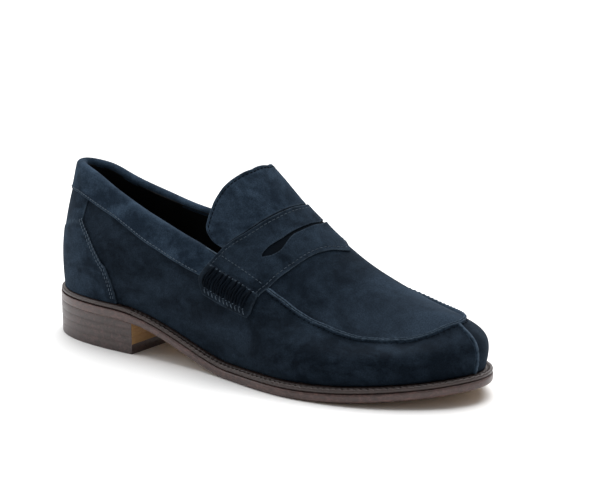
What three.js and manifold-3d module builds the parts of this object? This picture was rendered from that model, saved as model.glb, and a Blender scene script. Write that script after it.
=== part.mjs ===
// A men's penny loafer, right foot: suede upper with a moccasin apron, a slotted
// saddle strap and stitched strap-end tabs, on a welted leather sole with a stacked heel.
// Frame: +X from the heel to the toe, +Y to the medial side, +Z up.
// The origin is at the middle of the bounding box's bottom face. Millimetres.
import * as THREE from 'three';
import { mergeVertices } from 'three/addons/utils/BufferGeometryUtils.js';
import Module from 'manifold-3d';

const wasm = await Module();
wasm.setup();

// ---------------------------------------------------------------- driving sizes
// Sole and heel.
const SOLE_LENGTH = 302;
const BALL_WIDTH = 106.2;
const HEEL_HEIGHT = 20.4;        // floor to the underside of the outsole at the heel
const HEEL_LENGTH = 79;          // heel back to the heel breast
const TREAD_REAR = 158.3;        // the forepart rests on the floor from here ...
const TREAD_FRONT = 196.4;       // ... to here, then springs up
const TOE_SPRING = 9.2;
const OUTSOLE_T = 5.0;
const WELT_T = 2.8;
const WELT_INSET = 0.3;          // welt edge inside the outsole edge
const WELT_W = 9.6;
const INSOLE_T = 2.4;
const SOCK_T = 1.2;
const SHANK_W = 14;
const SHANK_T = 1.6;
const SHANK_REAR = 66;
const SHANK_FRONT = 150;
const CORK_REAR = 156;
// Heel stack.
const TIP_T = 6.0;
const TIP_SPLIT = 38;            // the rubber quarter tip ends here
const LIFTS = 3;
const HEEL_INSET = 0.4;
const TIP_INSET = 0.9;
const HEEL_NAIL_D = 2.6;
const TIP_NAIL_D = 2.0;
const TIP_NAIL_IN = 3.0;         // how far a tip nail goes into the first lift
const NAIL_SINK = 0.8;           // nail heads lie this far above the floor
const RUBBER_NAILS = 4;
// Leathers.
const GAP = 0.3;                 // clearance between pieces that rest on each other
const PLY_GAP = 0.5;             // clearance between curved plies
const SUEDE_T = 1.4;
const TRIM_T = 1.2;              // foxing, collar band and strap
const LINING_T = 1.0;
const STIFFENER_T = 0.8;
const TAB_T = 2.4;
const FOAM_T = 1.6;
const TONGUE_T = 1.4;
const TONGUE_LINING_T = 0.8;
// Upper.
const BACK_HEIGHT = 78.5;        // welt top to the topline at the back of the heel
const SPINE_REAR = 42;
const SPINE_FRONT = 256;         // the fan of toe ribs starts here
const SEAM_GAP = 0.4;            // between panels that are sewn edge to edge
const TONGUE_GAP = 0.6;
const TONGUE_OPEN_X = 172;

// ------------------------------------------------------- pattern tables
// Stations are millimetres along a 302 mm sole; widths are for a 106.2 mm ball.
const KX = SOLE_LENGTH / 302;
const KY = BALL_WIDTH / 106.2;
const KZ = BACK_HEIGHT / 78.5;
const TOE_Y = 6.85;
// Sole outline: [station, lateral y, medial y].
const OUTLINE = [
  [7.5, -16, 16], [21, -25.8, 25.8], [39, -31.7, 31.7], [60, -34.5, 33.5], [91, -35.5, 31.4],
  [121, -37.6, 29.4], [151, -42.9, 32.3], [175, -48.6, 39], [199, -52.5, 47.4],
  [223, -51.6, 53.5], [248, -45.3, 53.5], [272, -33.2, 45.1], [288, -20.4, 33.7], [298, -6.8, 21],
];
// Feather line: how far the upper's lower edge lies inside the sole outline.
const FEATHER = {
  lateral: [[0, 4.4], [40, 4], [90, 4.2], [150, 5.2], [210, 5.8], [260, 5.6], [302, 4.6]],
  medial: [[0, 4.4], [40, 4], [90, 3.6], [150, 4.4], [210, 5.4], [260, 5.2], [302, 4.6]],
};
// Fullest point of the wall: outward bulge (negative) and height over the feather line.
const BULGE = {
  lateral: [[0, -0.8], [20, -1.2], [60, -2.6], [110, -3.6], [160, -3.2], [210, -2],
    [260, -1.6], [290, -1.2], [302, -1]],
  medial: [[0, -0.8], [20, -1.2], [60, -2.6], [110, -2.6], [160, -3.6], [210, -2.6],
    [260, -1.8], [290, -1.2], [302, -1]],
};
const BULGE_H = {
  lateral: [[0, 24], [60, 24], [110, 24], [160, 22], [210, 16.5], [260, 15], [302, 15]],
  medial: [[0, 24], [60, 25], [110, 27], [160, 27], [210, 21.5], [260, 18], [302, 15]],
};
// Top edge of the wall, which is the topline and then the apron seam:
// inset from the feather line towards the spine, and height over the welt.
const EDGE_IN = {
  lateral: [[0, 10.5], [20, 12], [40, 12.5], [60, 11.5], [80, 9], [100, 6.5], [120, 5],
    [140, 4.6], [165, 6.5], [183, 10.5], [200, 13.5], [220, 14.3], [240, 13.5], [255, 13.5],
    [270, 13], [285, 12.8], [297, 13.1], [302, 13.3]],
  medial: [[0, 10.5], [20, 12], [40, 12], [60, 10], [80, 6.5], [100, 2.5], [120, -1.5],
    [140, -2], [165, 1.5], [183, 5], [200, 9], [220, 13], [240, 13.5], [255, 13.5],
    [270, 13], [285, 12.8], [297, 13.1], [302, 13.3]],
};
const EDGE_H = {
  lateral: [[0, 78.5], [20, 76.5], [40, 72], [60, 65.5], [80, 60.5], [100, 59.3], [120, 60.1],
    [140, 61.2], [165, 54.9], [183, 45.9], [200, 37.2], [220, 30], [240, 25.1], [255, 23.2],
    [270, 22.4], [285, 23.3], [297, 26.2], [302, 27.2]],
  medial: [[0, 78.5], [20, 73.4], [40, 67.1], [60, 61], [80, 57], [100, 57.8], [120, 61.1],
    [140, 64.7], [165, 62.9], [183, 56.9], [200, 49.4], [220, 41.5], [240, 35.5], [255, 32.3],
    [270, 30.1], [285, 28.5], [297, 27.7], [302, 27.2]],
};
// Spine, the crest of the instep: [station, y] and [station, height over the welt].
const SPINE_Y = [[30, 0], [60, 0], [100, 2], [150, 6], [175, 9], [200, 11], [230, 11.5],
  [256, 9.5], [290, 7.5]];
const SPINE_H = [[30, 99.5], [60, 102.5], [100, 113.8], [130, 118.2], [150, 109.9], [160, 100.9],
  [172, 89.2], [184, 79], [200, 67.6], [215, 58.4], [230, 50.3], [245, 43], [256, 39], [290, 27.5]];
// Outlines on the upper as [girth, station]. Girth is 0 at the feather line, 1/3 at the
// fullest point, 2/3 at the top edge and 1 on the spine; past 1 it goes down the medial side.
const STRAP_REAR = [[0.42, 136.5], [0.44, 135], [0.493, 131.2], [0.523, 131.8], [0.597, 136.1],
  [0.66, 141.1], [0.693, 144.9], [0.73, 151.2], [0.763, 156.9], [0.8, 161.6], [0.84, 165.5],
  [0.877, 168.6], [0.92, 171.2], [0.97, 173.2], [1, 173.8]];
const STRAP_FRONT = [[0.42, 171], [0.47, 173.8], [0.557, 175.1], [0.61, 176.4], [0.663, 179.3],
  [0.72, 183.1], [0.757, 186.2], [0.803, 189.8], [0.85, 193], [0.89, 196], [0.933, 199.6],
  [0.977, 204], [1, 205.5]];
const SLOT_REAR = [[0.745, 169], [0.773, 171.3], [0.83, 176.4], [0.903, 180.8], [0.94, 182.6],
  [1, 184.6]];
const SLOT_FRONT = [[0.745, 172], [0.76, 174.9], [0.793, 178.2], [0.83, 180.2], [0.863, 182.2],
  [0.9, 185], [0.94, 186.8], [1, 187.8]];
const TONGUE_REAR = [[0.685, 130.8], [0.71, 128.6], [0.74, 129.4], [0.785, 131.8], [0.83, 136.1],
  [0.88, 142.4], [0.93, 147.6], [1, 150.6]];
const TAB_LOW = 0.445;
const TAB_HIGH = 0.585;
const STRAP_END = 0.598;
const TONGUE_EDGE = 0.688;
const SLOT_END = 0.747;
// Lower edge of the collar band and front edge of the heel foxing: [angle, girth].
const BAND_LOW = [[0, 0.545], [16, 0.555], [28, 0.563], [38, 0.558], [52, 0.55], [59, 0.53],
  [65, 0.512], [72, 0.507], [80, 0.515], [95, 0.53]];
const FOXING_FRONT = [[37.6, 0.49], [40, 0.47], [43, 0.447], [46.2, 0.41], [49.2, 0.37],
  [52.1, 0.323], [54.1, 0.217], [55, 0.117], [55.4, 0.03]];
const FOXING_TOP_END = 37.2;
const STIFFENER_END = 62;
const STIFFENER_TOP = 0.5;
const PUFF_START = 138;
const REINFORCE_REAR = 68;
const REINFORCE_FRONT = 100;
const LINING_SPLIT = 84;
const TOE_SEAM = 185.5;         // angle of the toe split, a little to the lateral side

// ---------------------------------------------------------------- curves
const RAD = Math.PI / 180;
const TOPLINE = 2 / 3;
const WALL_MID = 1 / 3;

// Solves a small dense linear system by elimination.
function solve(a, b) {
  const n = b.length;
  for (let i = 0; i < n; i++) {
    let p = i;
    for (let r = i + 1; r < n; r++) if (Math.abs(a[r][i]) > Math.abs(a[p][i])) p = r;
    [a[i], a[p]] = [a[p], a[i]];
    [b[i], b[p]] = [b[p], b[i]];
    for (let r = i + 1; r < n; r++) {
      const k = a[r][i] / a[i][i];
      for (let c = i; c < n; c++) a[r][c] -= k * a[i][c];
      b[r] -= k * b[i];
    }
  }
  for (let i = n - 1; i >= 0; i--) {
    for (let c = i + 1; c < n; c++) b[i] -= a[i][c] * b[c];
    b[i] /= a[i][i];
  }
  return b;
}

// Value of a cubic spline piece from its end values and second derivatives.
function splinePiece(t, h, y0, y1, m0, m1) {
  return ((m1 - m0) / (6 * h)) * t ** 3 + (m0 / 2) * t * t
    + ((y1 - y0) / h - (h * (2 * m0 + m1)) / 6) * t + y0;
}

// Smooth closed curve over an angle in degrees, through [angle, value] knots.
function closedSpline(knots) {
  const k = [...knots].sort((p, q) => p[0] - q[0]);
  const n = k.length;
  const x = [...k.map((q) => q[0]), k[0][0] + 360];
  const y = [...k.map((q) => q[1]), k[0][1]];
  const h = x.slice(1).map((v, i) => v - x[i]);
  const a = k.map(() => new Array(n).fill(0));
  const b = new Array(n).fill(0);
  for (let i = 0; i < n; i++) {
    const j = (i + n - 1) % n;
    a[i][j] += h[j];
    a[i][i] += 2 * (h[j] + h[i]);
    a[i][(i + 1) % n] += h[i];
    b[i] = 6 * ((y[i + 1] - y[i]) / h[i] - (y[i] - y[j]) / h[j]);
  }
  const m = solve(a, b);
  m.push(m[0]);
  return (angle) => {
    const q = ((((angle - x[0]) % 360) + 360) % 360) + x[0];
    let i = 0;
    while (i < n - 1 && q >= x[i + 1]) i++;
    return splinePiece(q - x[i], h[i], y[i], y[i + 1], m[i], m[i + 1]);
  };
}

// Natural cubic spline through [x, y] knots, straight past its ends.
function openSpline(k) {
  const n = k.length;
  const h = k.slice(1).map((q, i) => q[0] - k[i][0]);
  const a = k.map(() => new Array(n).fill(0));
  const b = new Array(n).fill(0);
  a[0][0] = 1;
  a[n - 1][n - 1] = 1;
  for (let i = 1; i < n - 1; i++) {
    a[i][i - 1] = h[i - 1];
    a[i][i] = 2 * (h[i - 1] + h[i]);
    a[i][i + 1] = h[i];
    b[i] = 6 * ((k[i + 1][1] - k[i][1]) / h[i] - (k[i][1] - k[i - 1][1]) / h[i - 1]);
  }
  const m = solve(a, b);
  return (x) => {
    const q = Math.min(Math.max(x, k[0][0]), k[n - 1][0]);
    let i = 0;
    while (i < n - 2 && q > k[i + 1][0]) i++;
    return splinePiece(q - k[i][0], h[i], k[i][1], k[i + 1][1], m[i], m[i + 1]);
  };
}

// Straight lines between [x, y] knots, constant past the ends.
function polyline(k) {
  return (x) => {
    if (x <= k[0][0]) return k[0][1];
    for (let i = 1; i < k.length; i++) {
      if (x <= k[i][0]) {
        const t = (x - k[i - 1][0]) / (k[i][0] - k[i - 1][0]);
        return k[i - 1][1] + t * (k[i][1] - k[i - 1][1]);
      }
    }
    return k[k.length - 1][1];
  };
}

// The angle runs from 0 at the heel back over the medial side to 180 at the toe tip,
// and on over the lateral side to 360. A station is the pattern's x.
const angleOf = (station) => Math.acos(1 - (2 * station) / 302) / RAD;
const stationOf = (angle) => 151 * (1 - Math.cos(angle * RAD));

function roundTable(table, scale) {
  const knots = [];
  for (const [s, v] of table.lateral) if (s > 0 && s < 302) knots.push([360 - angleOf(s), v * scale]);
  for (const [s, v] of table.medial) if (s > 0 && s < 302) knots.push([angleOf(s), v * scale]);
  knots.push([0, table.medial[0][1] * scale]);
  knots.push([180, table.medial[table.medial.length - 1][1] * scale]);
  return closedSpline(knots);
}

const outlineY = closedSpline([
  [0, 0],
  [180, TOE_Y * KY],
  ...OUTLINE.map(([s, , y]) => [angleOf(s), y * KY]),
  ...OUTLINE.map(([s, y]) => [360 - angleOf(s), y * KY]),
]);
const featherIn = roundTable(FEATHER, 1);
const bulge = roundTable(BULGE, KY);
const bulgeH = roundTable(BULGE_H, KZ);
const edgeIn = roundTable(EDGE_IN, KY);
const edgeH = roundTable(EDGE_H, KZ);
const spineY = openSpline(SPINE_Y.map(([s, v]) => [s, v * KY]));
const spineH = openSpline(SPINE_H.map(([s, v]) => [s, v * KZ]));
const strapRear = polyline(STRAP_REAR);
const strapFront = polyline(STRAP_FRONT);
const slotRear = polyline(SLOT_REAR);
const slotFront = polyline(SLOT_FRONT);
const tongueRear = polyline(TONGUE_REAR);
const bandLow = polyline(BAND_LOW);
const foxingFront = polyline(FOXING_FRONT);

// Underside of the outsole: flat over the heel, down through the waist to the tread,
// flat there, and up to the toe. x is in millimetres.
function soleZ(x) {
  const heelEnd = HEEL_LENGTH - 18;
  const s = THREE.MathUtils.clamp((x - heelEnd) / (TREAD_REAR * KX - heelEnd), 0, 1) ** 1.09;
  const t = THREE.MathUtils.clamp((x - TREAD_FRONT * KX) / (SOLE_LENGTH - TREAD_FRONT * KX), 0, 1);
  return HEEL_HEIGHT * (1 - s * s * (3 - 2 * s)) + TOE_SPRING * t ** 1.8;
}

function outlineAt(angle) {
  return new THREE.Vector2(stationOf(angle) * KX, outlineY(angle));
}

// Point of the sole outline moved inwards by inset.
function insetAt(angle, inset) {
  const a = outlineAt(angle - 0.5);
  const b = outlineAt(angle + 0.5);
  const t = b.sub(a).normalize();
  const p = outlineAt(angle);
  return new THREE.Vector2(p.x + t.y * inset, p.y - t.x * inset);
}

const WELT_TOP = OUTSOLE_T + GAP + WELT_T;   // over the underside of the outsole
const FEATHER_H = WELT_TOP + GAP + 0.1;

// Smoothly holds a station between the two ends of the spine.
function spineStation(station) {
  const r = 10;
  const lo = SPINE_REAR + r * Math.log1p(Math.exp((station - SPINE_REAR) / r));
  return SPINE_FRONT - r * Math.log1p(Math.exp((SPINE_FRONT - lo) / r));
}

function spinePoint(station) {
  const s = station > 283 ? SPINE_FRONT : spineStation(station);
  const x = s * KX;
  return new THREE.Vector3(x, spineY(s), soleZ(x) + WELT_TOP + spineH(s));
}

// The four control points of the rib at an angle, and the slope it has on the spine.
function ribControls(angle) {
  const half = Math.min(angle, 360 - angle);
  const f = insetAt(angle, featherIn(angle));
  const top = spinePoint(stationOf(half));
  const inward = new THREE.Vector2(top.x - f.x, top.y - f.y).normalize();
  const base = soleZ(f.x);
  const zf = base + FEATHER_H;
  const m = f.clone().addScaledVector(inward, bulge(angle));
  const s = f.clone().addScaledVector(inward, edgeIn(angle));
  return {
    feather: new THREE.Vector3(f.x, f.y, zf),
    middle: new THREE.Vector3(m.x, m.y, zf + bulgeH(angle)),
    edge: new THREE.Vector3(s.x, s.y, base + WELT_TOP + edgeH(angle)),
    top,
    station: stationOf(half),
  };
}

function hermite(p0, p1, m0, m1, h, t) {
  const t2 = t * t;
  const t3 = t2 * t;
  return p0.clone().multiplyScalar(2 * t3 - 3 * t2 + 1)
    .addScaledVector(m0, (t3 - 2 * t2 + t) * h)
    .addScaledVector(p1, -2 * t3 + 3 * t2)
    .addScaledVector(m1, (t3 - t2) * h);
}

// Direction of the spine at a station, rising towards the heel.
function spineTangent(station) {
  const a = spinePoint(station - 1);
  return spinePoint(station + 1).sub(a).normalize();
}

// Point on the upper's outer surface.
function upperPoint(angle, girth) {
  const c = ribControls(angle);
  if (girth >= 1) return c.top;
  const k1 = c.middle.distanceTo(c.feather);
  const k2 = c.edge.distanceTo(c.middle);
  const k3 = c.top.distanceTo(c.edge);
  const a = c.middle.clone().sub(c.feather).divideScalar(k1);
  const b = c.edge.clone().sub(c.middle).divideScalar(k2);
  const d = c.top.clone().sub(c.edge).divideScalar(k3);
  const tm = a.clone().multiplyScalar(k2).addScaledVector(b, k1).divideScalar(k1 + k2);
  // Behind the strap the wall ends at the topline, so it runs straight up to it.
  const open = THREE.MathUtils.smoothstep(c.station, 60, 150);
  const q = (k2 / (k2 + k3)) * (0.15 + 0.85 * open);
  const ts = b.clone().multiplyScalar(1 - q).addScaledVector(d, q);
  const tf = a.clone().multiplyScalar(1.5).addScaledVector(tm, -0.5);
  if (girth <= WALL_MID) return hermite(c.feather, c.middle, tf, tm, k1, girth * 3);
  if (girth <= TOPLINE) return hermite(c.middle, c.edge, tm, ts, k2, (girth - WALL_MID) * 3);
  // On the spine every rib lies in one tangent plane, so the crest is smooth.
  const flat = new THREE.Vector3(c.top.x - c.edge.x, c.top.y - c.edge.y, 0).normalize();
  const t = spineTangent(Math.min(c.station, 250));
  const along = (flat.x * t.x + flat.y * t.y) / (t.x * t.x + t.y * t.y);
  const tc = new THREE.Vector3(flat.x, flat.y, t.z * along).normalize();
  return hermite(c.edge, c.top, ts, tc, k3, (girth - TOPLINE) * 3);
}

function upperNormal(angle, girth) {
  if (girth > 0.985) {
    const station = Math.min(stationOf(Math.min(angle, 360 - angle)), 250);
    const t = spineTangent(station);
    return t.cross(new THREE.Vector3(-t.y, t.x, 0)).normalize();
  }
  const g0 = Math.max(girth - 0.015, 0);
  const g1 = Math.min(girth + 0.015, 1);
  const along = upperPoint(angle + 0.6, girth).sub(upperPoint(angle - 0.6, girth));
  const up = upperPoint(angle, g1).sub(upperPoint(angle, g0));
  const n = up.cross(along);
  // Near the feather line the plies stand side by side, so their lower edges are level.
  n.z *= Math.min(1, girth / 0.08);
  return n.normalize();
}

// A point of the surface as {p, n}. The angle stays between 0 and 360.
function upper(angle, girth) {
  const a = ((angle % 360) + 360) % 360;
  return { p: upperPoint(a, girth), n: upperNormal(a, girth) };
}

// The same by station and girth, where a girth past 1 is on the medial side.
function across(station, girth) {
  const half = angleOf(Math.min(Math.max(station, 0.01), 301.99));
  return girth <= 1 ? upper(360 - half, girth) : upper(half, 2 - girth);
}

// ---------------------------------------------------------------- solids
// Welds a list of triangles, drops the empty ones and turns the faces outwards.
function solidOf(triangles) {
  const index = new Map();
  const points = [];
  const faces = [];
  const id = (p) => {
    const key = `${Math.round(p.x * 1e4)},${Math.round(p.y * 1e4)},${Math.round(p.z * 1e4)}`;
    if (!index.has(key)) {
      index.set(key, points.length / 3);
      points.push(p.x, p.y, p.z);
    }
    return index.get(key);
  };
  let volume = 0;
  for (const [a, b, c] of triangles) {
    const f = [id(a), id(b), id(c)];
    if (f[0] === f[1] || f[1] === f[2] || f[2] === f[0]) continue;
    faces.push(f);
    volume += a.dot(b.clone().cross(c));
  }
  if (volume < 0) for (const f of faces) f.reverse();
  const geometry = new THREE.BufferGeometry();
  geometry.setAttribute('position', new THREE.Float32BufferAttribute(points, 3));
  geometry.setIndex(faces.flat());
  return geometry;
}

function quad(list, a, b, c, d) {
  list.push([a, b, c], [a, c, d]);
}

// Closed sheet between two offsets of a surface. The rows of at(u, v) run over u, and
// where closedTop is set the row v = 1 is the spine, which both sides share.
function sheet(at, us, vs, low, high, closedTop = false) {
  const grid = (off) => us.map((u) => vs.map((v) => {
    const s = at(u, v);
    return s.p.clone().addScaledVector(s.n, off);
  }));
  const out = grid(high);
  const inn = grid(low);
  const t = [];
  const nu = us.length - 1;
  const nv = vs.length - 1;
  for (let i = 0; i < nu; i++) {
    for (let j = 0; j < nv; j++) {
      quad(t, out[i][j], out[i + 1][j], out[i + 1][j + 1], out[i][j + 1]);
      quad(t, inn[i][j], inn[i][j + 1], inn[i + 1][j + 1], inn[i + 1][j]);
    }
    quad(t, inn[i][0], inn[i + 1][0], out[i + 1][0], out[i][0]);
    if (!closedTop) quad(t, out[i][nv], out[i + 1][nv], inn[i + 1][nv], inn[i][nv]);
  }
  for (let j = 0; j < nv; j++) {
    quad(t, inn[0][j], out[0][j], out[0][j + 1], inn[0][j + 1]);
    quad(t, out[nu][j], inn[nu][j], inn[nu][j + 1], out[nu][j + 1]);
  }
  return solidOf(t);
}

// Closed plate that follows the sole's curve between two insets and two heights, over a
// range of stations: the full width from side to side.
function solePlate(inset, low, high, from, to) {
  const halves = [...HALF_ANGLES.filter((a) => a > from + 1 && a < to - 1)];
  const angles = [from, ...halves, to];
  const t = [];
  const at = (a, side, h) => {
    const p = insetAt(side < 0 ? 360 - a : a, inset(side < 0 ? 360 - a : a));
    return new THREE.Vector3(p.x, p.y, soleZ(p.x) + h);
  };
  const rings = angles.map((a) => [at(a, -1, low), at(a, 1, low), at(a, 1, high), at(a, -1, high)]);
  for (let i = 0; i < rings.length - 1; i++) {
    for (let j = 0; j < 4; j++) {
      quad(t, rings[i][j], rings[i + 1][j], rings[i + 1][(j + 1) % 4], rings[i][(j + 1) % 4]);
    }
  }
  quad(t, rings[0][0], rings[0][1], rings[0][2], rings[0][3]);
  const e = rings[rings.length - 1];
  quad(t, e[3], e[2], e[1], e[0]);
  return solidOf(t);
}

// Closed ring that follows the sole's edge between two angles.
function soleRing(outer, inner, low, high, angles) {
  const at = (a, inset, h) => {
    const p = insetAt(((a % 360) + 360) % 360, inset);
    return new THREE.Vector3(p.x, p.y, soleZ(p.x) + h);
  };
  const t = [];
  const rings = angles.map((a) => [at(a, inner(a), low), at(a, outer(a), low),
    at(a, outer(a), high), at(a, inner(a), high)]);
  for (let i = 0; i < rings.length - 1; i++) {
    for (let j = 0; j < 4; j++) {
      quad(t, rings[i][j], rings[i + 1][j], rings[i + 1][(j + 1) % 4], rings[i][(j + 1) % 4]);
    }
  }
  quad(t, rings[0][0], rings[0][1], rings[0][2], rings[0][3]);
  const e = rings[rings.length - 1];
  quad(t, e[3], e[2], e[1], e[0]);
  return solidOf(t);
}

// Flat plate of a heel outline with round holes, from z0 to z1.
function heelPlate(inset, x0, x1, z0, z1, holes, holeD) {
  const shape = new THREE.Shape(heelOutline(inset, x0, x1));
  for (const h of holes) {
    const round = [0, 1, 2, 3, 4, 5, 6, 7].map((i) => new THREE.Vector2(
      h.x + (holeD / 2) * Math.cos((i + 0.5) * Math.PI / 4),
      h.y - (holeD / 2) * Math.sin((i + 0.5) * Math.PI / 4)));
    shape.holes.push(new THREE.Path(round));
  }
  const g = new THREE.ExtrudeGeometry(shape, { depth: z1 - z0, bevelEnabled: false });
  g.translate(0, 0, z0);
  return g;
}

// Outline of the heel between two x values, heel back first when x0 is 0.
function heelOutline(inset, x0, x1) {
  const side = (sign) => {
    const pts = [];
    for (const a of [0, 8, 16, 25, 34, 43, 52, 59.5]) {
      const p = insetAt(sign < 0 ? (360 - a) % 360 : a, inset);
      if (p.x > x0 + 2 && p.x < x1 - 2) pts.push(p);
    }
    return pts;
  };
  const cutAt = (x, sign) => {
    let lo = 0.01;
    let hi = 90;
    for (let i = 0; i < 40; i++) {
      const mid = (lo + hi) / 2;
      if (insetAt(sign < 0 ? 360 - mid : mid, inset).x < x) lo = mid;
      else hi = mid;
    }
    const p = insetAt(sign < 0 ? 360 - lo : lo, inset);
    return new THREE.Vector2(x, p.y);
  };
  const back = x0 > 0 ? [cutAt(x0, 1), cutAt(x0, -1)] : [insetAt(0, inset)];
  const medial = side(1).reverse();
  return [...back, ...side(-1), cutAt(x1, -1), cutAt(x1, 1), ...medial];
}

function peg(d, x, y, z0, z1) {
  const g = new THREE.CylinderGeometry(d / 2, d / 2, z1 - z0, 8);
  g.rotateX(Math.PI / 2);
  g.rotateZ(Math.PI / 8);
  g.translate(x, y, (z0 + z1) / 2);
  return g;
}

function toManifold(geometry) {
  let g = geometry.clone();
  g.deleteAttribute('normal');
  g.deleteAttribute('uv');
  g = mergeVertices(g, 1e-4);
  return new wasm.Manifold(new wasm.Mesh({
    numProp: 3,
    vertProperties: new Float32Array(g.attributes.position.array),
    triVerts: new Uint32Array(g.index.array),
  }));
}

function fromManifold(solid) {
  const mesh = solid.getMesh();
  const g = new THREE.BufferGeometry();
  g.setAttribute('position', new THREE.Float32BufferAttribute(mesh.vertProperties, 3));
  g.setIndex([...mesh.triVerts]);
  return g;
}

// The first geometry with the others cut out of it.
function cut(geometry, ...tools) {
  let solid = toManifold(geometry);
  for (const tool of tools) solid = solid.subtract(toManifold(tool));
  return fromManifold(solid);
}

// ---------------------------------------------------------------- stations
// All plies share these angles, so their facets stay parallel.
const HALF_ANGLES = [7, 14, 21, 28, 36, 44, 52, 57, 62, 67, 72, 77, 82, 87, 92, 97, 103, 109,
  116, 124, 131, 138, 145, 151, 157, 163, 169, 174.5];
const HEEL_END = angleOf(HEEL_LENGTH / KX);
const SEAM_HALF = 0.24;

function anglesBetween(from, to) {
  const all = [];
  for (const a of [0, ...HALF_ANGLES, 180]) all.push(a - 360, -a, a, 360 - a, 360 + a);
  const inside = [...new Set(all)].filter((a) => a > from + 2 && a < to - 2);
  return [from, ...inside.sort((p, q) => p - q), to];
}

const constant = (v) => () => v;
const steps = (n) => Array.from({ length: n + 1 }, (_, i) => i / n);
const lerp = THREE.MathUtils.lerp;

// Offsets of the plies from the upper's surface.
const SHELL_OUT = 0.2;
const SHELL_IN = SHELL_OUT - SUEDE_T;
const TRIM_IN = SHELL_OUT + PLY_GAP;
const TRIM_OUT = TRIM_IN + TRIM_T;
const MID_OUT = SHELL_IN - PLY_GAP;
const MID_IN = MID_OUT - STIFFENER_T;
const LINING_OUT = MID_IN - PLY_GAP;
const LINING_IN = LINING_OUT - LINING_T;

// ---------------------------------------------------------------- materials
const part = new THREE.Group();
const shoe = new THREE.Group();
part.add(shoe);

function add(name, geometry, color, roughness, metalness = 0) {
  const material = new THREE.MeshStandardMaterial({ color, roughness, metalness });
  const mesh = new THREE.Mesh(geometry, material);
  mesh.name = name;
  shoe.add(mesh);
}

const SUEDE = '#1d2f42';
const SUEDE_TRIM = '#22364a';
const LEATHER_DARK = '#17191c';
const SOLE_BROWN = '#3c2a26';
const HEEL_BROWN = '#4a3a35';
const TAN = '#b98d52';

// ---------------------------------------------------------------- heel
const heelNails = [[16, 0], [44, -17], [44, 17], [66, 0]].map(([x, y]) => new THREE.Vector2(x, y));
const tipNails = [];
for (let i = 0; i < RUBBER_NAILS; i++) {
  const a = lerp(-38, 38, i / (RUBBER_NAILS - 1));
  tipNails.push(insetAt((a + 360) % 360, 8.5));
}
const liftTop = HEEL_HEIGHT - GAP;
const liftT = (liftTop - TIP_T - LIFTS * GAP) / LIFTS;
const tipHoleD = TIP_NAIL_D + 2 * GAP;
const nailHoleD = HEEL_NAIL_D + 2 * GAP;

add('heel_tip_rubber', heelPlate(TIP_INSET, 0, TIP_SPLIT - GAP / 2, 0, TIP_T, tipNails, tipHoleD),
  '#2a2626', 0.8);
add('heel_tip_leather', heelPlate(TIP_INSET, TIP_SPLIT + GAP / 2, HEEL_LENGTH, 0, TIP_T, [], 1),
  '#5b463a', 0.7);
for (let i = 0; i < LIFTS; i++) {
  const z0 = TIP_T + GAP + i * (liftT + GAP);
  const inset = HEEL_INSET * (1 - i / LIFTS);
  let g = heelPlate(inset, 0, HEEL_LENGTH, z0, z0 + liftT, heelNails, nailHoleD);
  if (i === 0) {
    const bores = tipNails.map((p) => peg(tipHoleD, p.x, p.y, z0 - 1, z0 + TIP_NAIL_IN + GAP));
    g = cut(g, ...bores);
  }
  // The top lift is fitted to the slope of the heel seat.
  if (i === LIFTS - 1) g = cut(g, solePlate(constant(-2), -GAP, OUTSOLE_T, 0, 180));
  add(`heel_lift_${i + 1}`, g, HEEL_BROWN, 0.65);
}
heelNails.forEach((p, i) => {
  add(`heel_nail_${i + 1}`, peg(HEEL_NAIL_D, p.x, p.y, TIP_T + GAP + 0.4,
    soleZ(p.x) - GAP - 0.2),
    '#9a9a98', 0.4, 0.9);
});
tipNails.forEach((p, i) => {
  add(`tip_nail_${i + 1}`, peg(TIP_NAIL_D, p.x, p.y, NAIL_SINK, TIP_T + GAP + TIP_NAIL_IN),
    '#a8894e', 0.4, 0.9);
});

// ---------------------------------------------------------------- sole
const innerWall = (a) => featherIn(a) - LINING_IN + 0.6;
const corkInset = constant(WELT_INSET + WELT_W + GAP);
add('outsole', solePlate(constant(0), 0, OUTSOLE_T, 0, 180), SOLE_BROWN, 0.6);
add('heel_rand', soleRing(constant(WELT_INSET), constant(WELT_W + WELT_INSET), OUTSOLE_T + GAP,
  WELT_TOP, anglesBetween(-HEEL_END, HEEL_END)), SOLE_BROWN, 0.6);
add('welt', soleRing(constant(WELT_INSET), constant(WELT_W + WELT_INSET), OUTSOLE_T + GAP,
  WELT_TOP, anglesBetween(HEEL_END + 0.3, 360 - HEEL_END - 0.3)), SOLE_BROWN, 0.6);
add('heel_filler', solePlate(corkInset, OUTSOLE_T + GAP, WELT_TOP - GAP / 3, 0,
  angleOf(SHANK_REAR - 4)), '#a9713f', 0.9);
add('cork_filler', solePlate(corkInset, OUTSOLE_T + GAP, WELT_TOP - GAP / 3,
  angleOf(CORK_REAR), 180), '#a9713f', 0.9);
add('insole', solePlate(innerWall, FEATHER_H, FEATHER_H + INSOLE_T, 0, 180), TAN, 0.7);
add('sock_liner', solePlate((a) => innerWall(a) + 0.4, FEATHER_H + INSOLE_T + GAP,
  FEATHER_H + INSOLE_T + GAP + SOCK_T, 0, 180), LEATHER_DARK, 0.6);

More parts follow.
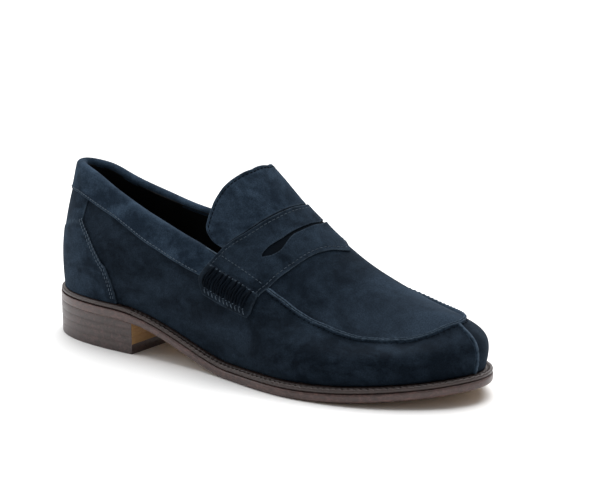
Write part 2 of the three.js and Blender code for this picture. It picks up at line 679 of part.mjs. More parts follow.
// Spring shank: a narrow strip that follows the waist.
{
  const t = [];
  const z0 = OUTSOLE_T + GAP;
  const rings = steps(8).map((u) => {
    const s = lerp(SHANK_REAR, SHANK_FRONT, u);
    const x = s * KX;
    const y = (outlineY(angleOf(s)) + outlineY(360 - angleOf(s))) / 2;
    const z = soleZ(x) + z0;
    return [[-1, 0], [1, 0], [1, 1], [-1, 1]].map(([a, b]) => new THREE.Vector3(
      x, y + (a * SHANK_W) / 2, z + b * SHANK_T + 0.3));
  });
  for (let i = 0; i < rings.length - 1; i++) {
    for (let j = 0; j < 4; j++) {
      quad(t, rings[i][j], rings[i + 1][j], rings[i + 1][(j + 1) % 4], rings[i][(j + 1) % 4]);
    }
  }
  quad(t, rings[0][0], rings[0][1], rings[0][2], rings[0][3]);
  const e = rings[rings.length - 1];
  quad(t, e[3], e[2], e[1], e[0]);
  add('shank', solidOf(t), '#7d8186', 0.45, 0.9);
}

// ---------------------------------------------------------------- upper
const PANEL_TOP = TOPLINE - 0.004;

// Part of the wall between two girths. Its rows are the shared ones, held between the
// two edges, so that plies of different height still have parallel facets.
const GIRTHS = [0, 0.09, 0.18, 0.265, 0.345, 0.425, 0.505, 0.585, 0.66];
const ROWS = GIRTHS.map((g, i) => i);
const wall = (low, high) => (a, row) => {
  const lo = low(a);
  const hi = high(a);
  const g = GIRTHS[row];
  if (row === 0 || g < lo + 0.03) return upper(a, lo);
  if (row === GIRTHS.length - 1 || g > hi - 0.03) return upper(a, hi);
  return upper(a, g);
};

add('medial_side_panel', sheet(wall(constant(0), constant(PANEL_TOP)),
  anglesBetween(SEAM_HALF, TOE_SEAM - SEAM_HALF), ROWS, SHELL_IN, SHELL_OUT), SUEDE, 0.95);
add('lateral_side_panel', sheet(wall(constant(0), constant(PANEL_TOP)),
  anglesBetween(TOE_SEAM + SEAM_HALF, 360 - SEAM_HALF), ROWS, SHELL_IN, SHELL_OUT), SUEDE, 0.95);

// Horseshoe sheet over the crest: u is an angle over the toe, v goes from a girth to the
// spine. Its rear edge follows a station that depends on the girth.
function crestSheet(lowGirth, rearStation, start, low, high, rows) {
  const first = angleOf(start);
  const us = anglesBetween(first, 360 - first);
  const at = (u, v) => {
    const g = v === 1 ? 1 : lerp(lowGirth(Math.min(u, 360 - u)), 1, v);
    const half = Math.min(u, 360 - u);
    const k = Math.max(0, 1 - (half - first) / 24);
    const a = half + (angleOf(rearStation(g)) - first) * k;
    return upper(u <= 180 ? a : 360 - a, g);
  };
  return sheet(at, us, rows, low, high, true);
}

const APRON_LOW = TOPLINE + 0.004;
const APRON_CLEAR = 0.4;
add('apron', crestSheet(constant(APRON_LOW), (g) => strapRear(g) + APRON_CLEAR, 160,
  SHELL_IN, SHELL_OUT, steps(7)), SUEDE, 0.95);

// Collar band, from the strap's rear edge on one side round the heel to the other.
{
  const clear = 1.3;
  const endAngle = (g) => angleOf(strapRear(g) - clear);
  const last = 80;
  const us = anglesBetween(-last, last);
  const at = (u, v) => {
    const half = Math.abs(u);
    const g = lerp(bandLow(half), PANEL_TOP, v);
    const k = Math.max(0, 1 - (last - half) / 16);
    const a = half + (endAngle(g) - last) * k;
    return upper(u < 0 ? 360 - a : a, g);
  };
  add('collar_band', sheet(at, us, steps(2), TRIM_IN, TRIM_OUT), SUEDE_TRIM, 0.95);
}

// Heel foxing: the back cover under the collar band.
{
  const top = (a) => {
    const half = Math.abs(a);
    return half <= FOXING_TOP_END ? bandLow(half) - 0.008 : foxingFront(half);
  };
  const ends = FOXING_FRONT.map((q) => q[0]);
  const us = [...ends.map((a) => -a).reverse(), ...anglesBetween(-FOXING_TOP_END, FOXING_TOP_END),
    ...ends];
  add('heel_foxing', sheet(wall(constant(0), top), us, ROWS, TRIM_IN, TRIM_OUT), SUEDE_TRIM, 0.95);
}

// Saddle strap with its slot.
{
  const at = (u, v) => {
    const g = lerp(STRAP_END, 2 - STRAP_END, u);
    const h = Math.min(g, 2 - g);
    return across(lerp(strapRear(h), strapFront(h), v), g);
  };
  const body = sheet(at, steps(28), steps(6), TRIM_IN, TRIM_OUT);
  const slotAt = (u, v) => {
    const g = lerp(SLOT_END, 2 - SLOT_END, u);
    const h = Math.min(g, 2 - g);
    return across(lerp(slotRear(h), slotFront(h), v), g);
  };
  const slot = sheet(slotAt, steps(14), steps(1), TRIM_IN - 1.5, TRIM_OUT + 3);
  add('saddle_strap', cut(body, slot), SUEDE_TRIM, 0.95);
}

// Padded, stitched tabs at the strap's ends.
for (const side of ['lateral', 'medial']) {
  const at = (u, v) => {
    const g = lerp(TAB_LOW, TAB_HIGH, v);
    const s = lerp(strapRear(g), strapFront(g), u);
    return across(s, side === 'lateral' ? g : 2 - g);
  };
  add(`strap_tab_${side}`, sheet(at, steps(5), steps(2), TRIM_IN, TRIM_IN + TAB_T), SUEDE_TRIM, 0.95);
}

// Tongue: it starts behind the strap and stands over the opening.
{
  const tongue = (edge, rearIn, frontIn) => (u, v) => {
    const g = lerp(edge, 2 - edge, v);
    const h = Math.min(g, 2 - g);
    const front = Math.min(strapRear(h), TONGUE_OPEN_X + 1) - TONGUE_GAP - frontIn;
    const rear = Math.min(tongueRear(h) + rearIn, front - 1.2);
    return across(lerp(rear, front, u), g);
  };
  const deep = SHELL_OUT;
  add('tongue', sheet(tongue(TONGUE_EDGE, 0, 0), steps(4), steps(16), deep - TONGUE_T, deep), SUEDE, 0.95);
  const low = deep - TONGUE_T - PLY_GAP;
  add('tongue_lining', sheet(tongue(TONGUE_EDGE + 0.008, 1, 0.8), steps(4), steps(16),
    low - TONGUE_LINING_T, low), LEATHER_DARK, 0.6);
}

// Inner plies.
add('heel_stiffener', sheet(wall(constant(0.02), constant(STIFFENER_TOP)),
  anglesBetween(-STIFFENER_END, STIFFENER_END), ROWS, MID_IN, MID_OUT), '#8a7a66', 0.8);
add('medial_reinforcement', sheet(wall(constant(0.25), constant(PANEL_TOP - 0.02)),
  anglesBetween(REINFORCE_REAR, REINFORCE_FRONT), ROWS, MID_IN, MID_OUT), '#8a7a66', 0.8);
add('lateral_reinforcement', sheet(wall(constant(0.25), constant(PANEL_TOP - 0.02)),
  anglesBetween(360 - REINFORCE_FRONT, 360 - REINFORCE_REAR), ROWS, MID_IN, MID_OUT),
  '#8a7a66', 0.8);
add('toe_puff', sheet(wall(constant(0.02), constant(PANEL_TOP - 0.03)),
  anglesBetween(PUFF_START, 360 - PUFF_START), ROWS, MID_IN, MID_OUT), '#8a7a66', 0.8);
add('collar_padding', sheet(wall(constant(STIFFENER_TOP + 0.03), constant(PANEL_TOP - 0.01)),
  anglesBetween(-64, 64), ROWS, LINING_OUT + 0.25, SHELL_IN - 0.25), '#6b6f73', 0.9);
add('quarter_lining', sheet(wall(constant(0.01), constant(PANEL_TOP)),
  anglesBetween(-LINING_SPLIT + 0.2, LINING_SPLIT - 0.2), ROWS, LINING_IN, LINING_OUT),
  LEATHER_DARK, 0.6);

// Vamp lining: one piece over the forepart, open behind the strap.
{
  const us = anglesBetween(LINING_SPLIT + 0.2, 360 - LINING_SPLIT - 0.2);
  const rear = angleOf(TONGUE_OPEN_X + 8);
  const at = (u, v) => {
    const half = Math.min(u, 360 - u);
    // Behind the strap's front the lining stops at the top edge; ahead it crosses over.
    const g = v === 1 ? 1 : v;
    const start = LINING_SPLIT + 0.2;
    const want = g <= 0.62 ? start : lerp(start, rear, (g - 0.62) / 0.38);
    const k = Math.max(0, 1 - (half - start) / 40);
    const a = half + (want - start) * k;
    return upper(u <= 180 ? a : 360 - a, Math.max(g, 0.01));
  };
  const girths = [...GIRTHS, 0.733, 0.8, 0.867, 0.933, 1];
  add('vamp_lining', sheet(at, us, girths, LINING_IN, LINING_OUT, true), LEATHER_DARK, 0.6);
}

// ---------------------------------------------------------------- frame
const box = new THREE.Box3().setFromObject(shoe);
shoe.position.set(-(box.min.x + box.max.x) / 2, -(box.min.y + box.max.y) / 2, -box.min.z);

export default part;
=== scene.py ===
"""Penny loafer, right foot: the visible pieces of the shoe, made round its solid frame.

Surfaces are worked out in millimetres from the heel's back and put down in metres. The
upper is one surface of an angle round the sole and a girth from the welt to the instep.
"""

import math

import bmesh
import bpy
import numpy as np
from bpy.props import FloatProperty, FloatVectorProperty, PointerProperty
from mathutils import Matrix, Vector


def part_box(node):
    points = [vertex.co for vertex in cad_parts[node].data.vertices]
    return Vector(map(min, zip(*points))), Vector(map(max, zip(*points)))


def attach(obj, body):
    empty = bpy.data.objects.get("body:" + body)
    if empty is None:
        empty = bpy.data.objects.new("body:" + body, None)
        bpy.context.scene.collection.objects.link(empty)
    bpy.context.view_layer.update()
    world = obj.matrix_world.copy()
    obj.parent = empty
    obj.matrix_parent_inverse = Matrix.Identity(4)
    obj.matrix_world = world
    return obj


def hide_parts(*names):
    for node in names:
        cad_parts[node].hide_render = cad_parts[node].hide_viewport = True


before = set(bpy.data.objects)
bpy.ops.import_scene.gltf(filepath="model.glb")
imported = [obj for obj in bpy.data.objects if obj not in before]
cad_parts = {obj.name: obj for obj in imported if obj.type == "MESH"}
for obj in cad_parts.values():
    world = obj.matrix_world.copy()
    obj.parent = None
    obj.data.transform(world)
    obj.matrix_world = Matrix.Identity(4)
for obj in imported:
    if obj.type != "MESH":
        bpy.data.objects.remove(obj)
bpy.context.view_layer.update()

bl_info = {
    "name": "Penny Loafer",
    "version": (1, 0, 0),
    "blender": (4, 5, 0),
    "location": "View3D > Sidebar > Loafer",
    "description": "Builds a suede penny loafer piece by piece",
    "category": "Add Mesh",
}

# ---------------------------------------------------------------- pattern tables
# Stations are millimetres along the sole. Girth is 0 at the welt, 1/3 at the fullest
# point of the wall, 2/3 at its top edge and 1 on the instep's crest.
LENGTH = 302.0
HEEL_HEIGHT = 20.4
HEEL_LENGTH = 79.0
TREAD_REAR = 158.3
TREAD_FRONT = 196.4
TOE_SPRING = 9.2
OUTSOLE_T = 5.0
WELT_TOP = 8.1
FEATHER_H = 8.5
TIP_T = 6.0
TIP_SPLIT = 38.0
TOE_Y = 6.85
OUTLINE = [
    (7.5, -16, 16), (21, -25.8, 25.8), (39, -31.7, 31.7), (60, -34.5, 33.5), (91, -35.5, 31.4),
    (121, -37.6, 29.4), (151, -42.9, 32.3), (175, -48.6, 39), (199, -52.5, 47.4),
    (223, -51.6, 53.5), (248, -45.3, 53.5), (272, -33.2, 45.1), (288, -20.4, 33.7),
    (298, -6.8, 21)]
FEATHER = (
    [(0, 4.4), (40, 4), (90, 4.2), (150, 5.2), (210, 5.8), (260, 5.6), (302, 4.6)],
    [(0, 4.4), (40, 4), (90, 3.6), (150, 4.4), (210, 5.4), (260, 5.2), (302, 4.6)])
BULGE = (
    [(0, -0.8), (20, -1.2), (60, -2.6), (110, -3.6), (160, -3.2), (210, -2), (260, -1.6),
     (290, -1.2), (302, -1)],
    [(0, -0.8), (20, -1.2), (60, -2.6), (110, -2.6), (160, -3.6), (210, -2.6), (260, -1.8),
     (290, -1.2), (302, -1)])
BULGE_H = (
    [(0, 24), (60, 24), (110, 24), (160, 22), (210, 16.5), (260, 15), (302, 15)],
    [(0, 24), (60, 25), (110, 27), (160, 27), (210, 21.5), (260, 18), (302, 15)])
EDGE_IN = (
    [(0, 10.5), (20, 12), (40, 12.5), (60, 11.5), (80, 9), (100, 6.5), (120, 5), (140, 4.6),
     (165, 6.5), (183, 10.5), (200, 13.5), (220, 14.3), (240, 13.5), (255, 13.5), (270, 13),
     (285, 12.8), (297, 13.1), (302, 13.3)],
    [(0, 10.5), (20, 12), (40, 12), (60, 10), (80, 6.5), (100, 2.5), (120, -1.5), (140, -2),
     (165, 1.5), (183, 5), (200, 9), (220, 13), (240, 13.5), (255, 13.5), (270, 13),
     (285, 12.8), (297, 13.1), (302, 13.3)])
EDGE_H = (
    [(0, 78.5), (20, 76.5), (40, 72), (60, 65.5), (80, 60.5), (100, 59.3), (120, 60.1),
     (140, 61.2), (165, 54.9), (183, 45.9), (200, 37.2), (220, 30), (240, 25.1), (255, 23.2),
     (270, 22.4), (285, 23.3), (297, 26.2), (302, 27.2)],
    [(0, 78.5), (20, 73.4), (40, 67.1), (60, 61), (80, 57), (100, 57.8), (120, 61.1),
     (140, 64.7), (165, 62.9), (183, 56.9), (200, 49.4), (220, 41.5), (240, 35.5),
     (255, 32.3), (270, 30.1), (285, 28.5), (297, 27.7), (302, 27.2)])
SPINE_Y = [(30, 0), (60, 0), (100, 2), (150, 6), (175, 9), (200, 11), (230, 11.5), (256, 9.5),
           (290, 7.5)]
SPINE_H = [(30, 99.5), (60, 102.5), (100, 113.8), (130, 118.2), (150, 109.9), (160, 100.9),
           (172, 89.2), (184, 79), (200, 67.6), (215, 58.4), (230, 50.3), (245, 43), (256, 39),
           (290, 27.5)]
SPINE_REAR, SPINE_FRONT = 42.0, 256.0
SPINE_EASE = 10.0                # length over which the crest comes to a stop at either end
SPINE_LAST = 283                 # stations past it all stand at the crest's front end
WAIST_START = HEEL_LENGTH - 18   # where the sole starts to fall from the heel's top
# Edges of the strap, its slot and the tongue: (girth, station).
STRAP_REAR = [(0.42, 136.5), (0.44, 135), (0.493, 131.2), (0.523, 131.8), (0.597, 136.1),
              (0.66, 141.1), (0.693, 144.9), (0.73, 151.2), (0.763, 156.9), (0.8, 161.6),
              (0.84, 165.5), (0.877, 168.6), (0.92, 171.2), (0.97, 173.2), (1, 173.8)]
STRAP_FRONT = [(0.42, 171), (0.47, 173.8), (0.557, 175.1), (0.61, 176.4), (0.663, 179.3),
               (0.72, 183.1), (0.757, 186.2), (0.803, 189.8), (0.85, 193), (0.89, 196),
               (0.933, 199.6), (0.977, 204), (1, 205.5)]
SLOT_REAR = [(0.745, 169), (0.773, 171.3), (0.83, 176.4), (0.903, 180.8), (0.94, 182.6),
             (1, 184.6)]
SLOT_FRONT = [(0.745, 172), (0.76, 174.9), (0.793, 178.2), (0.83, 180.2), (0.863, 182.2),
              (0.9, 185), (0.94, 186.8), (1, 187.8)]
TONGUE_REAR = [(0.685, 130.8), (0.71, 128.6), (0.74, 129.4), (0.785, 131.8), (0.83, 136.1),
               (0.88, 142.4), (0.93, 147.6), (1, 150.6)]
# Lower edge of the collar band and front edge of the heel foxing: (angle, girth).
BAND_LOW = [(0, 0.545), (16, 0.555), (28, 0.563), (38, 0.558), (52, 0.55), (59, 0.53),
            (65, 0.512), (72, 0.507), (80, 0.515), (95, 0.53)]
FOXING_FRONT = [(37.2, 0.60), (37.3, 0.52), (37.6, 0.49), (40, 0.47), (43, 0.447),
                (46.2, 0.41), (49.2, 0.37), (52.1, 0.323), (54.1, 0.217), (55, 0.117),
                (55.4, 0.03)]
TAB_LOW, TAB_HIGH = 0.445, 0.585
STRAP_END = 0.598
TONGUE_EDGE = 0.688
SLOT_END = 0.742
TOPLINE = 2 / 3
TONGUE_OPEN = 172.4
TOE_SEAM = 185.5                 # angle of the toe split


# ---------------------------------------------------------------- curves
def ring_spline(knots):
    """Closed cubic spline of an angle in degrees: smooth value, slope and bend at each knot."""
    k = np.array(sorted(knots), float)
    x, y, n = np.r_[k[:, 0], k[0, 0] + 360], np.r_[k[:, 1], k[0, 1]], len(k)
    h, i = np.diff(x), np.arange(n)
    a = np.zeros((n, n))
    np.add.at(a, (i, i - 1), h[i - 1])
    np.add.at(a, (i, i), 2 * (h[i - 1] + h))
    np.add.at(a, (i, (i + 1) % n), h)
    slope = np.diff(y) / h
    m = np.linalg.solve(a, 6 * (slope - slope[i - 1]))
    return lambda v: spline_value(np.mod(np.asarray(v, float) - x[0], 360) + x[0], x, y,
                                  np.r_[m, m[0]])


def open_spline(knots):
    """Natural cubic spline through (x, y) knots, held at its ends."""
    x, y = np.array(knots, float).T
    h, n = np.diff(x), len(x)
    a, b = np.eye(n), np.zeros(n)
    i = np.arange(1, n - 1)
    a[i, i - 1], a[i, i], a[i, i + 1] = h[:-1], 2 * (h[:-1] + h[1:]), h[1:]
    b[1:-1] = 6 * np.diff(np.diff(y) / h)
    m = np.linalg.solve(a, b)
    return lambda v: spline_value(np.clip(v, x[0], x[-1]), x, y, m)


def spline_value(q, x, y, m):
    """Cubic between two knots from their values y and second derivatives m."""
    i = np.clip(np.searchsorted(x, q, side="right") - 1, 0, len(x) - 2)
    t, h = q - x[i], x[i + 1] - x[i]
    return ((m[i + 1] - m[i]) / (6 * h) * t ** 3 + m[i] / 2 * t * t
            + ((y[i + 1] - y[i]) / h - h * (2 * m[i] + m[i + 1]) / 6) * t + y[i])


def eased_line(knots, width):
    """Straight lines between knots, with the corners eased over a width."""
    x, y = np.array(knots, float).T
    q = np.linspace(x[0] - width, x[-1] + width, 600)
    v = np.interp(q, x, y)
    n = max(3, int(width / (q[1] - q[0])) | 1)
    w = np.hanning(n + 2)[1:-1]
    pad = np.r_[2 * v[0] - v[n // 2:0:-1], v, 2 * v[-1] - v[-2:-n // 2 - 1:-1]]
    s = np.convolve(pad, w / w.sum(), mode="valid")
    return lambda g: np.interp(g, q, s)


def angle_of(station):
    return np.degrees(np.arccos(1 - 2 * np.asarray(station, float) / LENGTH))


def station_of(angle):
    return LENGTH / 2 * (1 - np.cos(np.radians(angle)))


def round_table(table):
    """A closed spline from a lateral and a medial table of (station, value)."""
    lateral, medial = table
    knots = [(360 - float(angle_of(s)), v) for s, v in lateral if 0 < s < LENGTH]
    knots += [(float(angle_of(s)), v) for s, v in medial if 0 < s < LENGTH]
    return ring_spline(knots + [(0, medial[0][1]), (180, medial[-1][1])])


outline_y = ring_spline([(0, 0), (180, TOE_Y)]
                        + [(float(angle_of(s)), m) for s, l, m in OUTLINE]
                        + [(360 - float(angle_of(s)), l) for s, l, m in OUTLINE])
feather_in, bulge, bulge_h = round_table(FEATHER), round_table(BULGE), round_table(BULGE_H)
edge_in, edge_h = round_table(EDGE_IN), round_table(EDGE_H)
spine_y, spine_h = open_spline(SPINE_Y), open_spline(SPINE_H)
strap_rear, strap_front, slot_rear, slot_front, tongue_rear = [
    eased_line(knots, 0.03)
    for knots in (STRAP_REAR, STRAP_FRONT, SLOT_REAR, SLOT_FRONT, TONGUE_REAR)]
band_low = eased_line(BAND_LOW, 6)
foxing_front = eased_line([(g, a) for a, g in FOXING_FRONT[::-1]], 0.02)


def unit(v):
    return v / np.maximum(np.linalg.norm(v, axis=-1, keepdims=True), 1e-12)


def smooth(x, low, high):
    t = np.clip((x - low) / (high - low), 0, 1)
    return t * t * (3 - 2 * t)


# ---------------------------------------------------------------- the shoe's surface
def sole_z(x):
    """Underside of the outsole: level at the heel, an S down the waist, a rise to the toe."""
    s = np.clip((x - WAIST_START) / (TREAD_REAR - WAIST_START), 0, 1) ** 1.09
    t = np.clip((x - TREAD_FRONT) / (LENGTH - TREAD_FRONT), 0, 1)
    return HEEL_HEIGHT * (1 - s * s * (3 - 2 * s)) + TOE_SPRING * t ** 1.8


def outline(angle):
    return np.stack([station_of(angle), outline_y(angle)], -1)


def inset_point(angle, inset):
    """The sole's outline moved inwards, square to its direction, by an inset."""
    t = unit(outline(angle + 0.5) - outline(angle - 0.5))
    p = outline(angle)
    return np.stack([p[..., 0] + t[..., 1] * inset, p[..., 1] - t[..., 0] * inset], -1)


def spine_point(station):
    """The instep's crest, with the station eased to a stop at both ends."""
    r = SPINE_EASE
    low = SPINE_REAR + r * np.log1p(np.exp((station - SPINE_REAR) / r))
    s = SPINE_FRONT - r * np.log1p(np.exp((SPINE_FRONT - low) / r))
    s = np.where(station > SPINE_LAST, SPINE_FRONT, s)
    return np.stack([s, spine_y(s), sole_z(s) + WELT_TOP + spine_h(s)], -1)


def hermite(p0, p1, m0, m1, h, t):
    t = t[..., None]
    return ((2 * t ** 3 - 3 * t * t + 1) * p0 + (t ** 3 - 2 * t * t + t) * h * m0
            + (3 * t * t - 2 * t ** 3) * p1 + (t ** 3 - t * t) * h * m1)


def upper_point(angle, girth):
    """Three cubic pieces per rib: welt to fullest point, to the top edge, to the crest."""
    a, g = np.broadcast_arrays(np.mod(np.asarray(angle, float), 360), np.asarray(girth, float))
    station = station_of(np.minimum(a, 360 - a))
    f, top = inset_point(a, feather_in(a)), spine_point(station)
    inward = unit(top[..., :2] - f)
    base = sole_z(f[..., 0])
    low = np.concatenate([f, (base + FEATHER_H)[..., None]], -1)
    mid = np.concatenate([f + inward * bulge(a)[..., None],
                          (base + FEATHER_H + bulge_h(a))[..., None]], -1)
    edge = np.concatenate([f + inward * edge_in(a)[..., None],
                           (base + WELT_TOP + edge_h(a))[..., None]], -1)
    size = lambda v: np.linalg.norm(v, axis=-1, keepdims=True)
    k1, k2, k3 = size(mid - low), size(edge - mid), np.maximum(size(top - edge), 1e-9)
    d1, d2, d3 = (mid - low) / k1, (edge - mid) / k2, (top - edge) / k3
    tm = (d1 * k2 + d2 * k1) / (k1 + k2)
    q = (k2 / (k2 + k3)) * (0.15 + 0.85 * smooth(station, 60, 150))[..., None]
    te, tl = d2 * (1 - q) + d3 * q, 1.5 * d1 - 0.5 * tm
    flat = unit((top - edge) * np.array([1, 1, 0.0]))
    s2 = np.minimum(station, 250)
    along = unit(spine_point(s2 + 1) - spine_point(s2 - 1))
    share = (flat[..., :2] * along[..., :2]).sum(-1) / (along[..., :2] ** 2).sum(-1)
    tc = unit(np.concatenate([flat[..., :2], (along[..., 2] * share)[..., None]], -1))
    G = g[..., None]
    return np.where(G <= 1 / 3, hermite(low, mid, tl, tm, k1, g * 3),
                    np.where(G <= 2 / 3, hermite(mid, edge, tm, te, k2, (g - 1 / 3) * 3),
                             hermite(edge, top, te, tc, k3, (g - 2 / 3) * 3)))


def upper_normal(angle, girth):
    """Square to the surface; level beside the welt; the crest's own normal on the crest."""
    a, g = np.broadcast_arrays(np.asarray(angle, float), np.asarray(girth, float))
    along = upper_point(a + 0.6, g) - upper_point(a - 0.6, g)
    up = upper_point(a, np.minimum(g + 0.015, 1)) - upper_point(a, np.maximum(g - 0.015, 0))
    n = unit(np.cross(up, along))
    m = np.mod(a, 360)
    s = np.minimum(station_of(np.minimum(m, 360 - m)), 250)
    t = unit(spine_point(s + 1) - spine_point(s - 1))
    crest = unit(np.cross(t, np.stack([-t[..., 1], t[..., 0], 0 * s], -1)))
    w = smooth(g, 0.955, 0.985)[..., None]
    n = n * (1 - w) + crest * w
    n[..., 2] *= np.minimum(1, g / 0.08)
    return unit(n)


def across(station, girth):
    """Angle and girth for a girth that runs past 1 down the medial side."""
    half = angle_of(np.clip(station, 0.01, LENGTH - 0.01))
    lateral = girth <= 1
    return np.where(lateral, 360 - half, half), np.where(lateral, girth, 2 - girth)


def surface(angle, girth):
    return upper_point(angle, girth), upper_normal(angle, girth)


def waves(p, size=0.16):
    """Slight hollows and swells of pulled leather: two sums of sine products."""
    x, y, z = p[..., 0], p[..., 1], p[..., 2]
    return size * (np.sin(x / 9.3 + 1.3) * np.sin(y / 8.1 + z / 9.7)
                   + 0.7 * np.sin(x / 5.1 + z / 6.3 + 0.7) * np.sin(y / 5.3 - x / 12))


# The frame's origin is under the middle of the shoe: it comes from the outsole's box, whose
# corners stand at these angles.
_half = np.array([0, 7, 14, 21, 28, 36, 44, 52, 57, 62, 67, 72, 77, 82, 87, 92, 97, 103, 109,
                  116, 124, 131, 138, 145, 151, 157, 163, 169, 174.5, 180])
_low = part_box("outsole")[0]
SHIFT = np.array([_low.x * 1000, _low.y * 1000 - outline_y(np.r_[_half, 360 - _half]).min(), 0])


# ---------------------------------------------------------------- meshes
def edge_steps(n):
    """Parameters from 0 to 1 that crowd towards both ends: half cosine, half even."""
    t = np.linspace(0, 1, n)
    return 0.9 * (0.5 - 0.5 * np.cos(math.pi * t)) + 0.1 * t


def grid_faces(rows, cols, wrap_cols=False, start=0):
    """Quads of a grid of points, whose columns may close into a ring."""
    i = np.arange(rows - 1)[:, None]
    j = np.arange(cols if wrap_cols else cols - 1)[None]
    at = lambda a, b: start + a * cols + b % cols
    return np.stack([at(i, j), at(i, j + 1), at(i + 1, j + 1), at(i + 1, j)], -1).reshape(-1, 4)


def make_piece(name, shape, finish, body="shoe", marks=None, sharp=None):
    """Puts points (mm) and faces into a mesh, welds it, turns it outwards and rides it."""
    points, faces = shape
    co = (np.asarray(points, float).reshape(-1, 3) + SHIFT) / 1000
    loops = np.concatenate([np.asarray(f).ravel() for f in faces]).astype(np.int32)
    counts = np.concatenate([np.full(len(f), f.shape[1]) for f in faces])
    starts = np.r_[0, np.cumsum(counts)[:-1]].astype(np.int32)
    mesh = bpy.data.meshes.new(name)
    mesh.vertices.add(len(co))
    mesh.vertices.foreach_set("co", co.astype(np.float32).ravel())
    mesh.loops.add(len(loops))
    mesh.loops.foreach_set("vertex_index", loops)
    mesh.polygons.add(len(counts))
    mesh.polygons.foreach_set("loop_start", starts)
    mesh.update(calc_edges=True)
    for key, values in (marks or {}).items():
        layer = mesh.attributes.new(key, "FLOAT", "POINT")
        layer.data.foreach_set("value", np.asarray(values, np.float32).ravel())
    bm = bmesh.new()
    bm.from_mesh(mesh)
    bmesh.ops.remove_doubles(bm, verts=bm.verts, dist=8e-6)
    bmesh.ops.dissolve_degenerate(bm, edges=bm.edges, dist=1e-7)
    if bm.calc_volume(signed=True) < 0:
        bmesh.ops.reverse_faces(bm, faces=bm.faces)
    bm.to_mesh(mesh)
    bm.free()
    mesh.shade_smooth()
    if sharp:
        mesh.set_sharp_from_angle(angle=math.radians(sharp))
    mesh.materials.append(material(finish))
    piece = bpy.data.objects.new(name, mesh)
    bpy.context.scene.collection.objects.link(piece)
    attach(piece, body)
    return piece


def edge_distance(P, edges):
    """Least distance along the grid lines to the named edges: u, U first and last row, v, V."""
    du = np.linalg.norm(np.diff(P, axis=0), axis=-1)
    dv = np.linalg.norm(np.diff(P, axis=1), axis=-1)
    cu = np.concatenate([np.zeros_like(du[:1]), np.cumsum(du, 0)])
    cv = np.concatenate([np.zeros_like(dv[:, :1]), np.cumsum(dv, 1)], 1)
    d = np.full(P.shape[:2], 1e3)
    for key, value in (("u", cu), ("U", cu[-1:] - cu), ("v", cv), ("V", cv[:, -1:] - cv)):
        if key in edges:
            d = np.minimum(d, value)
    return d


def skin(P, N, low, high, radius, edges="uUvV", distance=None, lift=0.0):
    """Sheet of leather: two offsets of a grid, drawn together at its edges on a quarter
    ellipse of the given radius. Returns points, faces and how near the rim each point is."""
    d = edge_distance(P, edges) if distance is None else distance
    f = np.sqrt(np.clip(1 - (1 - np.clip(d / radius, 0, 1)) ** 2, 0, 1))
    mid, half = (np.asarray(low) + high) / 2 + lift, (np.asarray(high) - low) / 2
    outer, inner = P + N * (mid + half * f)[..., None], P + N * (mid - half * f)[..., None]
    rows, cols = P.shape[:2]
    faces = [grid_faces(rows, cols), grid_faces(rows, cols, start=rows * cols)[:, ::-1]]
    rim = np.exp(-(d / radius) ** 2)
    return np.concatenate([outer.reshape(-1, 3), inner.reshape(-1, 3)]), faces, np.tile(
        rim.ravel(), 2)


def sweep(P, B, N, profile):
    """Carries a closed profile of (across, up) along a path; ends are closed by fans."""
    profile = np.broadcast_to(profile, (len(P),) + np.asarray(profile).shape[-2:])
    rings = P[:, None] + B[:, None] * profile[..., :1] + N[:, None] * profile[..., 1:]
    n, m = rings.shape[:2]
    k, tip = np.arange(m), np.full(m, n * m)
    points = np.concatenate([rings.reshape(-1, 3), [rings[0].mean(0)], [rings[-1].mean(0)]])
    first = np.stack([k, tip, (k + 1) % m], -1)
    last = np.stack([(n - 1) * m + (k + 1) % m, tip + 1, (n - 1) * m + k], -1)
    return points, [grid_faces(n, m, wrap_cols=True), first, last]


def join(*parts):
    """Several (points, faces) as one."""
    points, faces, start = [], [], 0
    for p, f in parts:
        points.append(p)
        faces += [np.asarray(q) + start for q in f]
        start += len(p)
    return np.concatenate(points), faces


def evenly(P, step, *fields):
    """A path and its fields sampled again at an even step along its length."""
    s = np.r_[0, np.cumsum(np.linalg.norm(np.diff(P, axis=0), axis=1))]
    q = np.linspace(0, s[-1], max(2, int(round(s[-1] / step)) + 1))
    pick = lambda F: np.stack([np.interp(q, s, F[:, k]) for k in range(F.shape[1])], 1)
    return [q, pick(P)] + [pick(F) for F in fields]


def tone(P, start, end, low, high):
    """Painted light and shade on a skin's two faces, from low to high between two stations along
    x.
    """
    return np.tile((low + (high - low) * smooth(P[..., 0], start, end)).ravel(), 2)


def beside(P, N, distance, goal=None):
    """A path moved sideways in its surface, to the left seen from outside, or to the side
    on which a goal lies as seen from its middle."""
    move = unit(np.cross(N, unit(np.gradient(P, axis=0)))) * distance
    mid = len(P) // 2
    if goal is not None and np.dot(move[mid], goal - P[mid]) < 0:
        move = -move
    return P + move


